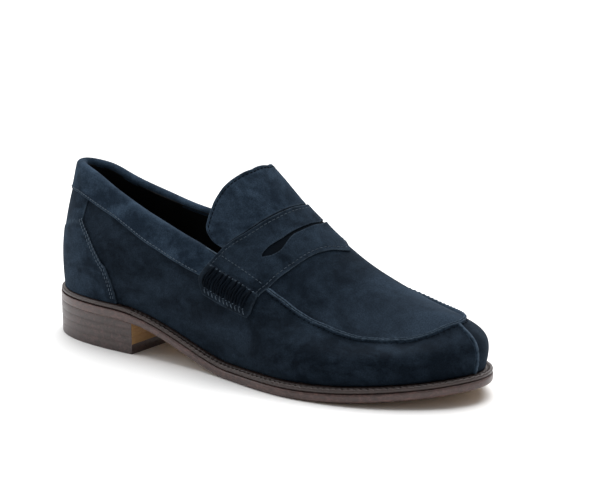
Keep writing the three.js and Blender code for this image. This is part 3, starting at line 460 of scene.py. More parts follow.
def stitches(P, N, pitch, length, radius, lift=0.0, slant=0.0):
    """Short thread capsules along a path: rings whose radius is an ellipse's and whose
    middle stands up in an arch, closed by a point at each end."""
    q, P, N = evenly(P, pitch / 8, N)
    c = np.arange(0.5 * pitch, q[-1] - 0.3 * pitch, pitch)
    pick = lambda F: np.stack([np.interp(c, q, F[:, k]) for k in range(3)], 1)
    C, T, N = pick(P), unit(pick(unit(np.gradient(P, axis=0)))), unit(pick(N))
    B = unit(np.cross(N, T))
    T = unit(np.cross(B, N))
    T, B = (T * math.cos(slant) + B * math.sin(slant), B * math.cos(slant) - T * math.sin(slant))
    t = np.array([-1, -0.72, 0, 0.72, 1.0])
    r = radius * np.array([0.45, 0.9, 1, 0.9, 0.45])
    up = lift - radius * 0.9 * t ** 2
    sides, last = 6, 6 * (len(t) - 1)
    phi = np.arange(sides) * 2 * math.pi / sides
    local = np.stack([np.repeat(t * length / 2, sides), np.outer(r, np.cos(phi)).ravel(),
                      (up[:, None] + np.outer(r, np.sin(phi))).ravel()], -1)
    local = np.concatenate([local, [[-0.56 * length, 0, up[0]], [0.56 * length, 0, up[-1]]]])
    k, tip = np.arange(sides), np.full(sides, sides * len(t))
    fan = np.concatenate([np.stack([k, tip, (k + 1) % sides], -1),
                          np.stack([last + (k + 1) % sides, tip + 1, last + k], -1)])
    points = C[:, None] + np.einsum("vk,nkc->nvc", local, np.stack([T, B, N], 1))
    step = (np.arange(len(C)) * len(local))[:, None, None]
    return points.reshape(-1, 3), [
        (grid_faces(len(t), sides, wrap_cols=True)[None] + step).reshape(-1, 4),
        (fan[None] + step).reshape(-1, 3)]


def block(loop, rows, z_low, z_high, strips=False):
    """Closed block: an outline at each row's (inset, share of height, extra mm), with flat
    ends, or ends joined across by strips where the block is curved lengthwise."""
    rings = []
    for inset, share, extra in rows:
        xy = loop(inset)
        z = z_low(xy[:, 0]) * (1 - share) + z_high(xy[:, 0]) * share + extra
        rings.append(np.c_[xy, z])
    rings = np.array(rings)
    m, n = rings.shape[:2]
    faces = [grid_faces(m, n, wrap_cols=True)]
    last = (m - 1) * n
    if strips:
        k = np.arange(1, n // 2 - 1)
        side = np.stack([k, k + 1, n - k - 1, n - k], -1)
        ends = np.array([[0, 1, n - 1], [n // 2 - 1, n // 2, n // 2 + 1]])
        faces += [side, ends, side[:, ::-1] + last, ends[:, ::-1] + last]
    else:
        k = np.arange(n)
        faces += [k[None], k[None, ::-1] + last]
    return rings.reshape(-1, 3), faces


# ---------------------------------------------------------------- shader groups
BLACK = (0, 0, 0, 1)             # a colour input before a material sets it


class Net:
    """Adds nodes to a tree, sets their values and joins them."""

    def __init__(self, tree):
        self.tree = tree

    def node(self, kind, settings=None, **values):
        n = self.tree.nodes.new(kind)
        for key, value in (settings or {}).items():
            setattr(n, key, value)
        for key, value in values.items():
            self.put(n.inputs[key.replace("_", " ")], value)
        return n

    def put(self, socket, value):
        if isinstance(value, bpy.types.NodeSocket):
            self.tree.links.new(value, socket)
        else:
            socket.default_value = value

    def math(self, operation, a, b=0.0, clamp=False):
        n = self.node("ShaderNodeMath", {"operation": operation, "use_clamp": clamp})
        self.put(n.inputs[0], a)
        self.put(n.inputs[1], b)
        return n.outputs[0]

    def blend(self, factor, a, b, kind="MIX"):
        n = self.node("ShaderNodeMix", {"data_type": "RGBA", "blend_type": kind})
        self.put(n.inputs[0], factor)
        self.put(n.inputs[6], a)
        self.put(n.inputs[7], b)
        return n.outputs[2]

    def spread(self, value, low, high, to_low=0.0, to_high=1.0):
        n = self.node("ShaderNodeMapRange", {"clamp": True}, Value=value, From_Min=low,
                      From_Max=high, To_Min=to_low, To_Max=to_high)
        return n.outputs[0]

    def noise(self, vector, scale, detail=3.0, roughness=0.55, distortion=0.0):
        return self.node("ShaderNodeTexNoise", None, Vector=vector, Scale=scale, Detail=detail,
                         Roughness=roughness, Distortion=distortion).outputs[0]

    def stretched(self, vector, x, y, z):
        return self.node("ShaderNodeMapping", None, Vector=vector, Scale=(x, y, z)).outputs[0]


def new_group(name, inputs, build):
    """A shader group, built once, from a place and its named inputs to a colour, a height
    and a roughness."""
    tree = bpy.data.node_groups.new(name, "ShaderNodeTree")
    socket = lambda label, side, kind: tree.interface.new_socket(
        name=label, in_out=side, socket_type="NodeSocket" + kind)
    socket("Vector", "INPUT", "Vector")
    for label, default in inputs.items():
        kind = "Float" if isinstance(default, float) else "Color"
        socket(label, "INPUT", kind).default_value = default
    for label, kind in (("Colour", "Color"), ("Height", "Float"), ("Roughness", "Float")):
        socket(label, "OUTPUT", kind)
    net = Net(tree)
    given = net.node("NodeGroupInput").outputs
    out = net.node("NodeGroupOutput").inputs
    for label, value in build(net, given).items():
        net.put(out[label], value)
    return tree


def nap_group():
    """Suede: soft light and dark strokes, a fine nap, a paler cut edge, and painted light and
    shade laid on from a mark.
    """
    def build(net, g):
        v = g["Vector"]
        strokes = net.stretched(v, 0.75, 1.0, 1.35)
        big = net.noise(strokes, g["Patch scale"], 4.0, 0.62, 0.6)
        small = net.noise(v, net.math("MULTIPLY", g["Patch scale"], 4.3), 3.0, 0.6, 0.3)
        fine = net.noise(v, 1500.0, 2.0, 0.7)
        tone = net.math("ADD", net.spread(big, 0.38, 0.66, 0.0, 0.85),
                        net.spread(small, 0.3, 0.7, -0.16, 0.24))
        # the mark's painted light and shade is added to the random patches
        tone = net.math("ADD", tone, g["Tone"], clamp=True)
        colour = net.blend(tone, g["Dark"], g["Light"])
        specks = net.spread(fine, 0.3, 0.72, 0.62, 1.42)
        colour = net.blend(1.0, colour, specks, "MULTIPLY")
        # the rim mark lightens cut edges and the tops of the seam ridges, which are partly a
        # painted highlight
        worn = net.math("MULTIPLY", g["Rim"], net.spread(small, 0.3, 0.62, 0.25, 1.0),
                        clamp=True)
        colour = net.blend(worn, colour, g["Rim colour"])
        coarse = net.noise(v, 420.0, 3.0, 0.65)
        height = net.math("ADD", net.math("MULTIPLY", fine, 0.55),
                          net.math("MULTIPLY", coarse, 0.75))
        rough = net.spread(big, 0.3, 0.7, 0.88, 1.0)
        return {"Colour": colour, "Height": height, "Roughness": rough}
    return new_group("suede nap", {"Dark": BLACK, "Light": BLACK, "Rim colour": BLACK,
                                   "Rim": 0.0, "Tone": 0.0, "Patch scale": 60.0}, build)


def grain_group():
    """Leather: cells of grain with creases between them, and cloudy colour."""
    def build(net, g):
        v = g["Vector"]
        cells = net.node("ShaderNodeTexVoronoi", {"feature": "DISTANCE_TO_EDGE"}, Vector=v,
                         Scale=g["Grain scale"]).outputs["Distance"]
        crease = net.spread(cells, 0.0, 0.16)
        cloud = net.noise(v, g["Cloud scale"], 4.0, 0.6, 0.4)
        fine = net.noise(v, net.math("MULTIPLY", g["Grain scale"], 2.1), 2.0)
        colour = net.blend(net.spread(cloud, 0.33, 0.68), g["Dark"], g["Light"])
        # darker in the creases between the grain's cells: painted shade
        colour = net.blend(1.0, colour, net.spread(crease, 0.0, 1.0, 0.82, 1.0), "MULTIPLY")
        height = net.math("ADD", net.math("MULTIPLY", crease, 0.7),
                          net.math("MULTIPLY", fine, 0.5))
        return {"Colour": colour, "Height": height,
                "Roughness": net.spread(cloud, 0.3, 0.7, g["Smooth"], g["Rough"])}
    return new_group("leather grain", {"Dark": BLACK, "Light": BLACK, "Grain scale": 900.0,
                                       "Cloud scale": 60.0, "Smooth": 0.4, "Rough": 0.6}, build)


def stain_group():
    """Edge paint over raw leather: a mask lays it on, wear thins it, and fibres show
    through as level streaks."""
    def build(net, g):
        v = g["Vector"]
        fibres = net.noise(net.stretched(v, 1.0, 1.0, 9.0), 330.0, 4.0, 0.65)
        cloud = net.noise(v, 150.0, 4.0, 0.65, 0.5)
        scuff = net.noise(net.stretched(v, 1.0, 1.0, 1.6), 320.0, 3.0, 0.7, 0.8)
        paint = net.blend(net.spread(cloud, 0.32, 0.68), g["Paint dark"], g["Paint light"])
        paint = net.blend(net.math("MULTIPLY", net.spread(scuff, 0.47, 0.68), g["Wear"]),
                          paint, g["Worn"])
        raw = net.blend(net.spread(fibres, 0.3, 0.7), g["Raw dark"], g["Raw light"])
        mask = net.spread(net.math("ADD", g["Mask"], net.spread(cloud, 0.3, 0.7, -0.14, 0.14)),
                          0.38, 0.6)
        colour = net.blend(mask, raw, paint)
        rough = net.math("ADD", net.spread(scuff, 0.35, 0.7, g["Smooth"], g["Rough"]),
                         net.spread(mask, 0.0, 1.0, 0.25, 0.0))
        height = net.math("ADD", net.math("MULTIPLY", fibres, 0.7),
                          net.math("MULTIPLY", cloud, 0.6))
        return {"Colour": colour, "Height": height, "Roughness": rough}
    return new_group("edge stain", {"Mask": 1.0, "Paint dark": BLACK, "Paint light": BLACK,
                                    "Worn": BLACK, "Raw dark": BLACK, "Raw light": BLACK,
                                    "Wear": 0.4, "Smooth": 0.3, "Rough": 0.55}, build)


GROUPS = {}


def group(kind):
    if kind not in GROUPS:
        GROUPS[kind] = {"nap": nap_group, "grain": grain_group, "stain": stain_group}[kind]()
    return GROUPS[kind]


def rgba(colour, factor=1.0):
    return (*[c * factor for c in colour], 1.0)


def finish_material(name, kind, values, bump, depth, shader, marks=()):
    """A material: one group on Object coordinates feeding a Principled shader and a bump."""
    mat = bpy.data.materials.new(name)
    mat.use_nodes = True
    mat.node_tree.nodes.clear()
    net = Net(mat.node_tree)
    place = net.node("ShaderNodeTexCoord").outputs["Object"]
    g = net.node("ShaderNodeGroup", {"node_tree": group(kind)}, Vector=place)
    for key, value in values.items():
        g.inputs[key].default_value = value
    for label, attribute in marks:
        a = net.node("ShaderNodeAttribute", {"attribute_name": attribute})
        net.put(g.inputs[label], a.outputs["Fac"])
    b = net.node("ShaderNodeBump", None, Strength=bump, Distance=depth, Height=g.outputs["Height"])
    s = net.node("ShaderNodeBsdfPrincipled", None, Base_Color=g.outputs["Colour"],
                 Roughness=g.outputs["Roughness"], Normal=b.outputs[0])
    for key, value in shader.items():
        s.inputs[key].default_value = value
    out = net.node("ShaderNodeOutputMaterial")
    net.put(out.inputs["Surface"], s.outputs[0])
    return mat


# Suedes: how much lighter than the panel's colours (above 1 on the apron, tongue, collar and
# foxing: painted light on pieces facing up to the lamps), scale of the patches, and rim's
# strength.
SUEDES = {
    "suede": (1.0, 40.0, 1.0), "suede_apron": (1.2, 34.0, 1.0), "suede_tongue": (1.9, 46.0, 1.0),
    "suede_collar": (2.3, 44.0, 1.0), "suede_foxing": (1.55, 48.0, 0.9),
    "suede_strap": (1.2, 50.0, 0.75), "suede_tab": (0.75, 70.0, 0.8),
    # the seam edge is lighter: rubbed ridges, partly a painted highlight
    "seam_edge": (1.7, 150.0, 1.15)}
# Grained finishes: dark and light as a colour or as a panel's colour and a share of it,
# scales of grain and cloud, least and most roughness, bump, then specular or metal.
GRAINS = {
    "thread": (("thread", 0.6), ("thread", 1), 2600.0, 300.0, 0.6, 0.8, 0.35,
               {"Specular IOR Level": 0.15}),
    "soft_thread": (("thread", 0.35), ("thread", 0.65), 2600.0, 300.0, 0.6, 0.8, 0.35,
                    {"Specular IOR Level": 0.1}),
    "dark_thread": (("dark_thread", 0.5), ("dark_thread", 1), 2600.0, 300.0, 0.7, 0.85, 0.35,
                    {"Specular IOR Level": 0.03}),
    # painted shade: the dark sheet in the strap's slot
    "slot": (("suede_dark", 0.5), ("suede_dark", 1), 1100.0, 50.0, 0.8, 0.9, 0.35,
             {"Specular IOR Level": 0.05}),
    "sole_thread": (("sole_thread", 0.6), ("sole_thread", 1), 2600.0, 300.0, 0.5, 0.7, 0.35, {}),
    "lining": (("lining", 0.35), ("lining", 0.6), 1100.0, 50.0, 0.6, 0.75, 0.35,
               {"Specular IOR Level": 0.15}),
    "insole": (("raw_leather", 0.75), ("raw_leather", 1), 700.0, 40.0, 0.6, 0.75, 0.35, {}),
    "rubber": ((0.012, 0.011, 0.011), (0.022, 0.02, 0.02), 1600.0, 80.0, 0.6, 0.8, 0.35, {}),
    "cork": ((0.16, 0.075, 0.03), (0.42, 0.23, 0.1), 480.0, 160.0, 0.8, 0.95, 0.7, {}),
    "board": ((0.2, 0.16, 0.11), (0.3, 0.25, 0.18), 1500.0, 90.0, 0.8, 0.9, 0.35, {}),
    "foam": ((0.06, 0.065, 0.07), (0.09, 0.1, 0.11), 1300.0, 70.0, 0.9, 1.0, 0.6, {}),
    "steel": ((0.3, 0.31, 0.33), (0.46, 0.47, 0.5), 2200.0, 60.0, 0.3, 0.45, 0.1,
              {"Metallic": 1.0}),
    "brass": ((0.4, 0.26, 0.09), (0.6, 0.42, 0.17), 2200.0, 120.0, 0.25, 0.45, 0.1,
              {"Metallic": 1.0})}
# Painted edges: the panel's colour, its dark and worn shares, wear, least and most roughness,
# and the coat's weight and roughness.
STAINS = {
    "outsole": ("edge_paint", 0.55, 2.3, 0.75, 0.3, 0.5, 0.1, 0.3),
    "heel": ("heel_paint", 0.5, 2.0, 0.75, 0.36, 0.55, 0.08, 0.3),
    "welt": ("welt_paint", 0.55, 1.9, 0.35, 0.34, 0.55, 0.05, 0.35)}


def suede(name, c, lighter, patch, rim):
    return finish_material(
        name, "nap", {"Dark": rgba(c.suede_dark, lighter), "Light": rgba(c.suede_light, lighter),
                      "Rim colour": rgba(c.suede_edge, rim), "Patch scale": patch},
        0.55, 0.00035,
        {"Sheen Weight": 0.05, "Sheen Roughness": 0.4, "Sheen Tint": (0.42, 0.62, 0.9, 1),
         "Specular IOR Level": 0.06}, (("Rim", "rim"), ("Tone", "tone")))


def grained(name, c, dark, light, grain, cloud, least, most, bump, shader):
    dark, light = [rgba(getattr(c, v[0]), v[1]) if isinstance(v[0], str) else rgba(v)
                   for v in (dark, light)]
    return finish_material(name, "grain", {"Dark": dark, "Light": light, "Grain scale": grain,
                                           "Cloud scale": cloud, "Smooth": least, "Rough": most},
                           bump, 0.0002, shader)


def stained(name, c, paint, dark, worn, wear, least, most, coat, coat_roughness):
    paint = getattr(c, paint)
    return finish_material(
        name, "stain", {"Paint dark": rgba(paint, dark), "Paint light": rgba(paint),
                        "Worn": rgba(paint, worn), "Raw dark": rgba(c.raw_leather, 0.72),
                        "Raw light": rgba(c.raw_leather), "Wear": wear, "Smooth": least,
                        "Rough": most},
        0.3, 0.00025, {"Coat Weight": coat, "Coat Roughness": coat_roughness},
        (("Mask", "paint"),))


MATERIALS = {}


def material(name):
    """The named finish, made once from the panel's colours."""
    if name not in MATERIALS:
        colours = bpy.context.scene.loafer_colours
        for table, make in ((SUEDES, suede), (GRAINS, grained), (STAINS, stained)):
            if name in table:
                MATERIALS[name] = make("loafer " + name.replace("_", " "), colours, *table[name])
    return MATERIALS[name]


# ---------------------------------------------------------------- offsets of the plies, mm
SHELL_OUT = 0.2                  # outer faces of the sides, the apron and the tongue
TRIM_IN, TRIM_OUT = 0.7, 1.9     # both faces of the collar, the foxing and the tabs
TAB_FACE = TRIM_IN + 1.35        # outer face of the tabs beside their roll
LINING_IN, LINING_OUT = -4.0, -3.0
SEAM_GAP = 0.24                  # angle between a side panel's end and its seam
EDGE_ANGLES = np.array([0.06, 0.16, 0.36])   # crowded columns beside a panel's end


class PieceOperator(bpy.types.Operator):
    """Builds pieces of the shoe"""
    bl_options = {"REGISTER", "UNDO"}

    def execute(self, context):
        self.build(context.scene.loafer_sizes)
        return {"FINISHED"}


class LOAFER_OT_outsole(PieceOperator):
    """Outsole: the sole's outline carried up a rounded edge, with a shallow channel line
    under it. Its paint mark is 1 on the edge and 0 underneath"""
    bl_idname = "loafer.outsole"
    bl_label = "Outsole"

    def build(self, z):
        ang = station_angles(420)
        g = z.channel_depth * 1000
        rows = [(13, 0, 0), (8.2, 0, 0), (7.5, 0, 0), (7.25, 0, g), (6.95, 0, g), (6.7, 0, 0),
                (4, 0, 0), (2.0, 0, 0.0), (1.05, 0.0, 0.1), (0.5, 0.07, 0.06), (0.14, 0.2, 0),
                (0, 0.4, 0), (0, 0.72, 0), (0.12, 0.86, 0), (0.42, 0.96, 0), (1.0, 1, 0),
                (13, 1, 0)]
        paint = np.array([0, 0, 0, 0, 0, 0, 0, 0.1, 0.55, 0.85, 1, 1, 1, 1, 1, 1, 1.0])
        half = np.minimum(ang, 360 - ang)
        ease = 0.15 + 0.85 * smooth(half, angle_of(HEEL_LENGTH) - 1, angle_of(HEEL_LENGTH) + 3)
        shape = block(lambda inset: inset_point(ang, inset * (ease if inset < 3 else 1)),
                      rows, sole_z, lambda x: sole_z(x) + OUTSOLE_T, strips=True)
        piece = make_piece("outsole_leather", shape, "outsole",
                           marks={"paint": np.repeat(paint, len(ang))}, sharp=50)
        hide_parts("outsole")


def station_angles(n):
    """Even number of angles round the sole, evenly spaced along its edge."""
    a = np.linspace(0, 180, 1500)
    s = np.r_[0, np.cumsum(np.linalg.norm(np.diff(outline(a), axis=0), axis=1))]
    half = np.interp(np.linspace(0, s[-1], n // 2 + 1), s, a)
    return np.r_[half, 360 - half[-2:0:-1]]


def edge_path(first, last, inset, step):
    """Lengths and angles of even steps along the sole's edge, at an inset from it."""
    a = np.linspace(first, last, 2400)
    xy = inset_point(np.mod(a, 360), inset)
    s = np.r_[0, np.cumsum(np.linalg.norm(np.diff(xy, axis=0), axis=1))]
    q = np.linspace(0, s[-1], int(s[-1] / step) + 1)
    return q, np.interp(q, s, a)


class LOAFER_OT_welt(PieceOperator):
    """Welt and heel rand: a profile of inset and height carried round the sole's edge. The
    welt's top dips between its stitches by a raised cosine of the length along it"""
    bl_idname = "loafer.welt"
    bl_label = "Welt and rand"

    WELT = [(9.9, 5.25), (9.9, 8.1), (4.6, 8.1), (3.7, 8.02), (3.2, 7.8), (2.75, 7.62),
            (2.3, 7.8), (1.9, 8.06), (1.3, 8.12), (0.75, 7.95), (0.35, 7.45), (0.2, 6.7),
            (0.32, 6.0), (0.7, 5.45), (1.1, 5.25)]
    GROOVE = 2.75                    # inset of the welt's stitches
    RAND = [(9.9, 5.25), (9.9, 8.1), (4.0, 8.1), (2.2, 8.06), (1.2, 7.95), (0.6, 7.5),
            (0.4, 6.8), (0.45, 6.2), (0.8, 5.7), (1.3, 5.25)]

    def ring(self, a, profile, dip=None):
        inset, height = np.array(profile).T
        P = inset_point(np.mod(a[:, None], 360), inset[None])
        z = sole_z(P[..., 0]) + height
        if dip is not None:
            z = z - dip[:, None] * np.where((inset < 3.5) & (height > 7.4), 1.0, 0.0)
        rings = np.concatenate([P, z[..., None]], -1)
        n, m = rings.shape[:2]
        k = np.arange(m)[::-1]
        return rings.reshape(-1, 3), [grid_faces(n, m, wrap_cols=True), k[None, ::-1],
                                      k[None] + (n - 1) * m]

    def build(self, z):
        end = float(angle_of(HEEL_LENGTH))
        pitch = z.welt_stitch * 1000
        q, a = edge_path(end, 360 - end, self.GROOVE, pitch / 7)
        dip = z.welt_dip * 1000 * (0.5 + 0.5 * np.cos(2 * math.pi * q / pitch)) ** 3
        shape = self.ring(a, self.WELT, dip)
        piece = make_piece("welt_strip", shape, "welt",
                           marks={"paint": np.ones(len(shape[0]))}, sharp=55)
        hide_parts("welt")
        xy = inset_point(np.mod(a, 360), self.GROOVE)
        P = np.c_[xy, sole_z(xy[:, 0]) + 7.78]
        N = np.tile([0, 0, 1.0], (len(P), 1))
        make_piece("welt_stitches", stitches(P, N, pitch, pitch * 0.74, 0.42, 0.16),
                   "sole_thread")
        a = edge_path(-end + 0.15, end - 0.15, self.GROOVE, 1.0)[1]
        shape = self.ring(a, self.RAND)
        piece = make_piece("heel_rand_strip", shape, "welt",
                           marks={"paint": np.ones(len(shape[0]))}, sharp=55)
        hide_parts("heel_rand")


def heel_loop(inset, front, back=0.0):
    """Outline of the heel: the sole's edge round the back, closed by a straight breast at
    front - inset and, for a front piece, by a straight joint at back + inset. Its marks are 1
    on the sole's edge and 0 on the straight lines."""
    a = np.linspace(0, 75, 900)

    def side(sign):
        x = inset_point(np.mod(sign * a, 360), inset)[:, 0]
        low = np.interp(back + inset, x, a) if back > 0 else 0.0
        t = np.linspace(low, np.interp(front - inset, x, a), 70)
        return inset_point(np.mod(sign * t, 360), inset)
    lateral, medial = side(-1), side(1)
    w = np.r_[0.006, np.linspace(0.02, 0.98, 16), 0.994][:, None]
    breast = lateral[-1] * (1 - w) + medial[-1] * w
    loop = [lateral, breast, medial[::-1]]
    if back > 0:
        loop.append(medial[0] * (1 - w) + lateral[0] * w)
    else:
        loop[2] = loop[2][:-1]
    marks = [np.full(len(p), 1.0 - i % 2) for i, p in enumerate(loop)]
    return np.concatenate(loop), np.concatenate(marks)


class LOAFER_OT_heel(PieceOperator):
    """Heel: leather lifts, a leather front tip and a rubber rear tip, each an outline
    carried up a small rounded edge, and round nail heads in the rubber"""
    bl_idname = "loafer.heel"
    bl_label = "Heel stack"

    def layer(self, name, node, inset, front, back, low, high, slot_name, all_paint):
        """One layer between two heights; all_paint is 1 where its straight ends have paint."""
        r = 0.1                      # how much its edges are rounded
        rows = [(3 * r, 0, 0), (0.9 * r, 0, 0), (0.3 * r, 0, 0.25 * r), (0, 0, 0.9 * r),
                (0, 1, -0.9 * r), (0.3 * r, 1, -0.25 * r), (0.9 * r, 1, 0), (3 * r, 1, 0)]
        joint = back - inset if back else 0
        mark = heel_loop(inset, front, back)[1]
        shape = block(lambda i: heel_loop(i + inset, front + inset, joint)[0], rows,
                      lambda x: 0 * x + low,
                      lambda x: np.minimum(high, sole_z(x) - 0.01))
        paint = np.tile(np.maximum(mark, all_paint), len(rows))
        piece = make_piece(name, shape, "heel",
                           marks={"paint": paint}, sharp=40)
        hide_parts(node)
        return piece

    def build(self, z):
        t = (HEEL_HEIGHT - TIP_T) / 3
        for i in range(3):
            low = TIP_T + i * t + 0.01
            self.layer("heel_lift_leather_%d" % (i + 1), "heel_lift_%d" % (i + 1),
                       0.36 - 0.12 * i, HEEL_LENGTH, 0, low, low + t - 0.02, "heel_leather", 0.0)
        self.layer("heel_tip_front", "heel_tip_leather", 0.46, HEEL_LENGTH, TIP_SPLIT + 0.08, 0.0,
                   TIP_T, "heel_leather", 1.0)
        piece = self.layer("heel_tip_rear", "heel_tip_rubber", 0.46, TIP_SPLIT - 0.08, 0, 0.0,
                           TIP_T, "rubber_tip", 1.0)
        piece.data.materials.append(material("rubber"))
        down = np.zeros(len(piece.data.polygons) * 3)
        piece.data.polygons.foreach_get("normal", down)
        piece.data.polygons.foreach_set(
            "material_index", (down.reshape(-1, 3)[:, 2] < -0.9).astype(np.int32))
        sides, r = 20, np.array([1.15, 1.15, 1.0, 0.62, 0.2])
        ring, k = np.arange(sides) * 2 * math.pi / sides, np.arange(sides)
        height = np.array([0.85, 0.27, 0.15, 0.05, 0.01])
        parts = []
        for x, y in inset_point(np.mod(np.linspace(-38, 38, 4), 360), 8.5):
            P = np.stack([x + np.outer(r, np.cos(ring)), y + np.outer(r, np.sin(ring)),
                          np.repeat(height[:, None], sides, 1)], -1)
            parts.append((P.reshape(-1, 3), [grid_faces(len(r), sides, wrap_cols=True), k[None],
                                             k[None, ::-1] + sides * (len(r) - 1)]))
        piece = make_piece("tip_nail_heads", join(*parts), "brass", sharp=50)
        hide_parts(*["tip_nail_%d" % (i + 1) for i in range(4)])


class LOAFER_OT_sides(PieceOperator):
    """Side panels: the upper's surface from the welt to the top edge, one sheet a side"""
    bl_idname = "loafer.sides"
    bl_label = "Side panels"

    def build(self, z):
        t = z.suede * 1000
        for name, first, last in (("medial", SEAM_GAP, TOE_SEAM - SEAM_GAP),
                                  ("lateral", TOE_SEAM + SEAM_GAP, 360 - SEAM_GAP)):
            u = np.linspace(first, last, 400)
            u[1:4], u[-4:-1] = first + EDGE_ANGLES, last - EDGE_ANGLES[::-1]
            A, G = np.meshgrid(u, edge_steps(56) * (TOPLINE - 0.003), indexing="ij")
            P, N = surface(A, G)
            fade = smooth(G, 0.02, 0.12) * smooth(TOPLINE - G, 0.0, 0.06)
            points, faces, rim = skin(P, N, SHELL_OUT - t, SHELL_OUT, 0.55,
                                      lift=waves(P) * fade)
            rim = rim * np.tile((G > 0.1).ravel(), 2)
            # the walls grow darker towards the toe: painted shade
            piece = make_piece(name + "_side_suede", (points, faces), "suede",
                               marks={"rim": rim, "tone": tone(P, 170, 225, 0.04, -0.24)})
            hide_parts(name + "_side_panel")


class LOAFER_OT_apron(PieceOperator):
    """Apron: a horseshoe sheet from the seam to the crest. Its seam is a ridge with two
    lips, a profile carried along the top edge, puckered by a sine of the length; the toe
    split is a single lip down the middle of the toe"""
    bl_idname = "loafer.apron"
    bl_label = "Apron and raised seams"

    def build(self, z):
        first = float(angle_of(160.0))
        u = np.linspace(first, 180, 190)
        u[[1, 2, 3]] = first + np.array([0.08, 0.22, 0.5])
        u = np.r_[u, 360 - u[-2::-1]]
        v = np.r_[np.array([0, 0.002, 0.006, 0.012, 0.02]), np.linspace(0.032, 1, 58)]
        V, U = np.meshgrid(v, u)
        G = TOPLINE + 0.004 + V * (1 - TOPLINE - 0.004)
        half = np.minimum(U, 360 - U)
        k = np.clip(1 - (half - first) / 24, 0, 1)
        a = half + (angle_of(strap_rear(G) + 0.4) - first) * k
        A = np.where(U <= 180, a, 360 - a)
        P, N = surface(A, G)
        fade = smooth(V, 0, 0.12) * smooth(half, first + 1, first + 8)
        points, faces, rim = skin(P, N, SHELL_OUT - z.suede * 1000, SHELL_OUT, 0.55, "uUv",
                                  lift=waves(P) * fade)
        # the apron grows lighter towards the toe: painted light
        piece = make_piece("apron_suede", (points, faces), "suede_apron",
                           marks={"rim": rim * 0, "tone": tone(P, 215, 262, -0.12, 0.46)})
        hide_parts("apron")
        self.seam(z)
        self.split(z)

    def seam(self, z):
        start = float(angle_of(strap_front(0.668) - 1.5))
        a = np.linspace(start, 360 - start, 2200)
        P, N = surface(a, np.full(a.shape, TOPLINE))
        s, P, N = evenly(P, 0.32, N)
        N = unit(N)
        T = unit(np.gradient(P, axis=0))
        B = unit(np.cross(T, N))                 # towards the apron
        B = B * np.sign((B * (spine_point(np.full(1, 230.0)) - P)).sum(-1, keepdims=True))
        h = z.seam_height * 1000
        taper = np.minimum(1, np.minimum(s, s[-1] - s) / 5) ** 0.6
        pucker = 1 + 0.09 * np.sin(2 * math.pi * s / 3.4) + 0.05 * np.sin(s / 7.3)
        lips = np.array([(-2.1, -0.5), (-1.75, 0.05), (-1.35, 0.42), (-1.05, 0.8), (-0.75, 0.98),
                         (-0.42, 0.98), (-0.15, 0.72), (0.1, 0.74), (0.32, 1.06), (0.62, 1.14),
                         (0.95, 0.98), (1.3, 0.52), (1.75, 0.12), (2.1, -0.5)])
        prof = np.repeat(lips[None], len(s), 0).copy()
        sway = 0.16 * np.sin(s / 5.1) + 0.1 * np.sin(s / 2.3 + 1)
        prof[..., 0] = prof[..., 0] * 0.82 + sway[:, None]
        raised = lips[:, 1] * h * (taper * pucker)[:, None]
        prof[..., 1] = 0.1 + np.where(lips[:, 1] > 0, raised, lips[:, 1])
        shape = sweep(P, B, N, prof)
        # lighter along the ridge's top: rubbed suede, partly a painted highlight
        rim = np.tile(smooth(lips[:, 1], 0.6, 1.0), len(s))
        make_piece("apron_seam_ridge", shape, "seam_edge",
                   marks={"rim": np.r_[rim * 0.75, 0, 0]})
        row = P - B * 1.95 + N * 0.28
        make_piece("apron_seam_stitches", stitches(row, N, 3.4, 1.5, 0.2, 0.05, slant=1.2),
                   "dark_thread")

    def split(self, z):
        g = np.linspace(0.655, 0.004, 160)
        P, N = surface(np.full(g.shape, TOE_SEAM), g)
        T = unit(np.gradient(P, axis=0))
        B = unit(np.cross(T, N))
        s = np.r_[0, np.cumsum(np.linalg.norm(np.diff(P, axis=0), axis=1))]
        h = z.split_height * 1000 * (1 + 0.1 * np.sin(2 * math.pi * s / 3.0))
        lips = np.array([(-1.8, -0.4), (-1.3, 0.1), (-0.8, 0.62), (-0.35, 0.95), (0.1, 1.0),
                         (0.45, 0.8), (0.62, 0.35), (0.8, 0.12), (1.5, -0.4)])
        prof = np.repeat(lips[None], len(s), 0).copy()
        prof[..., 0] = prof[..., 0] * 1.25 + 0.16 * np.sin(s / 2.6)[:, None]
        prof[..., 1] = 0.12 + np.where(lips[:, 1] > 0, lips[:, 1] * h[:, None], lips[:, 1])
        shape = sweep(P, B, N, prof)
        # lighter along the ridge's top: rubbed suede, partly a painted highlight
        rim = np.tile(smooth(lips[:, 1], 0.5, 1.0) * 0.8, len(s))
        make_piece("toe_split_ridge", shape, "seam_edge",
                   marks={"rim": np.r_[rim, 0, 0]})


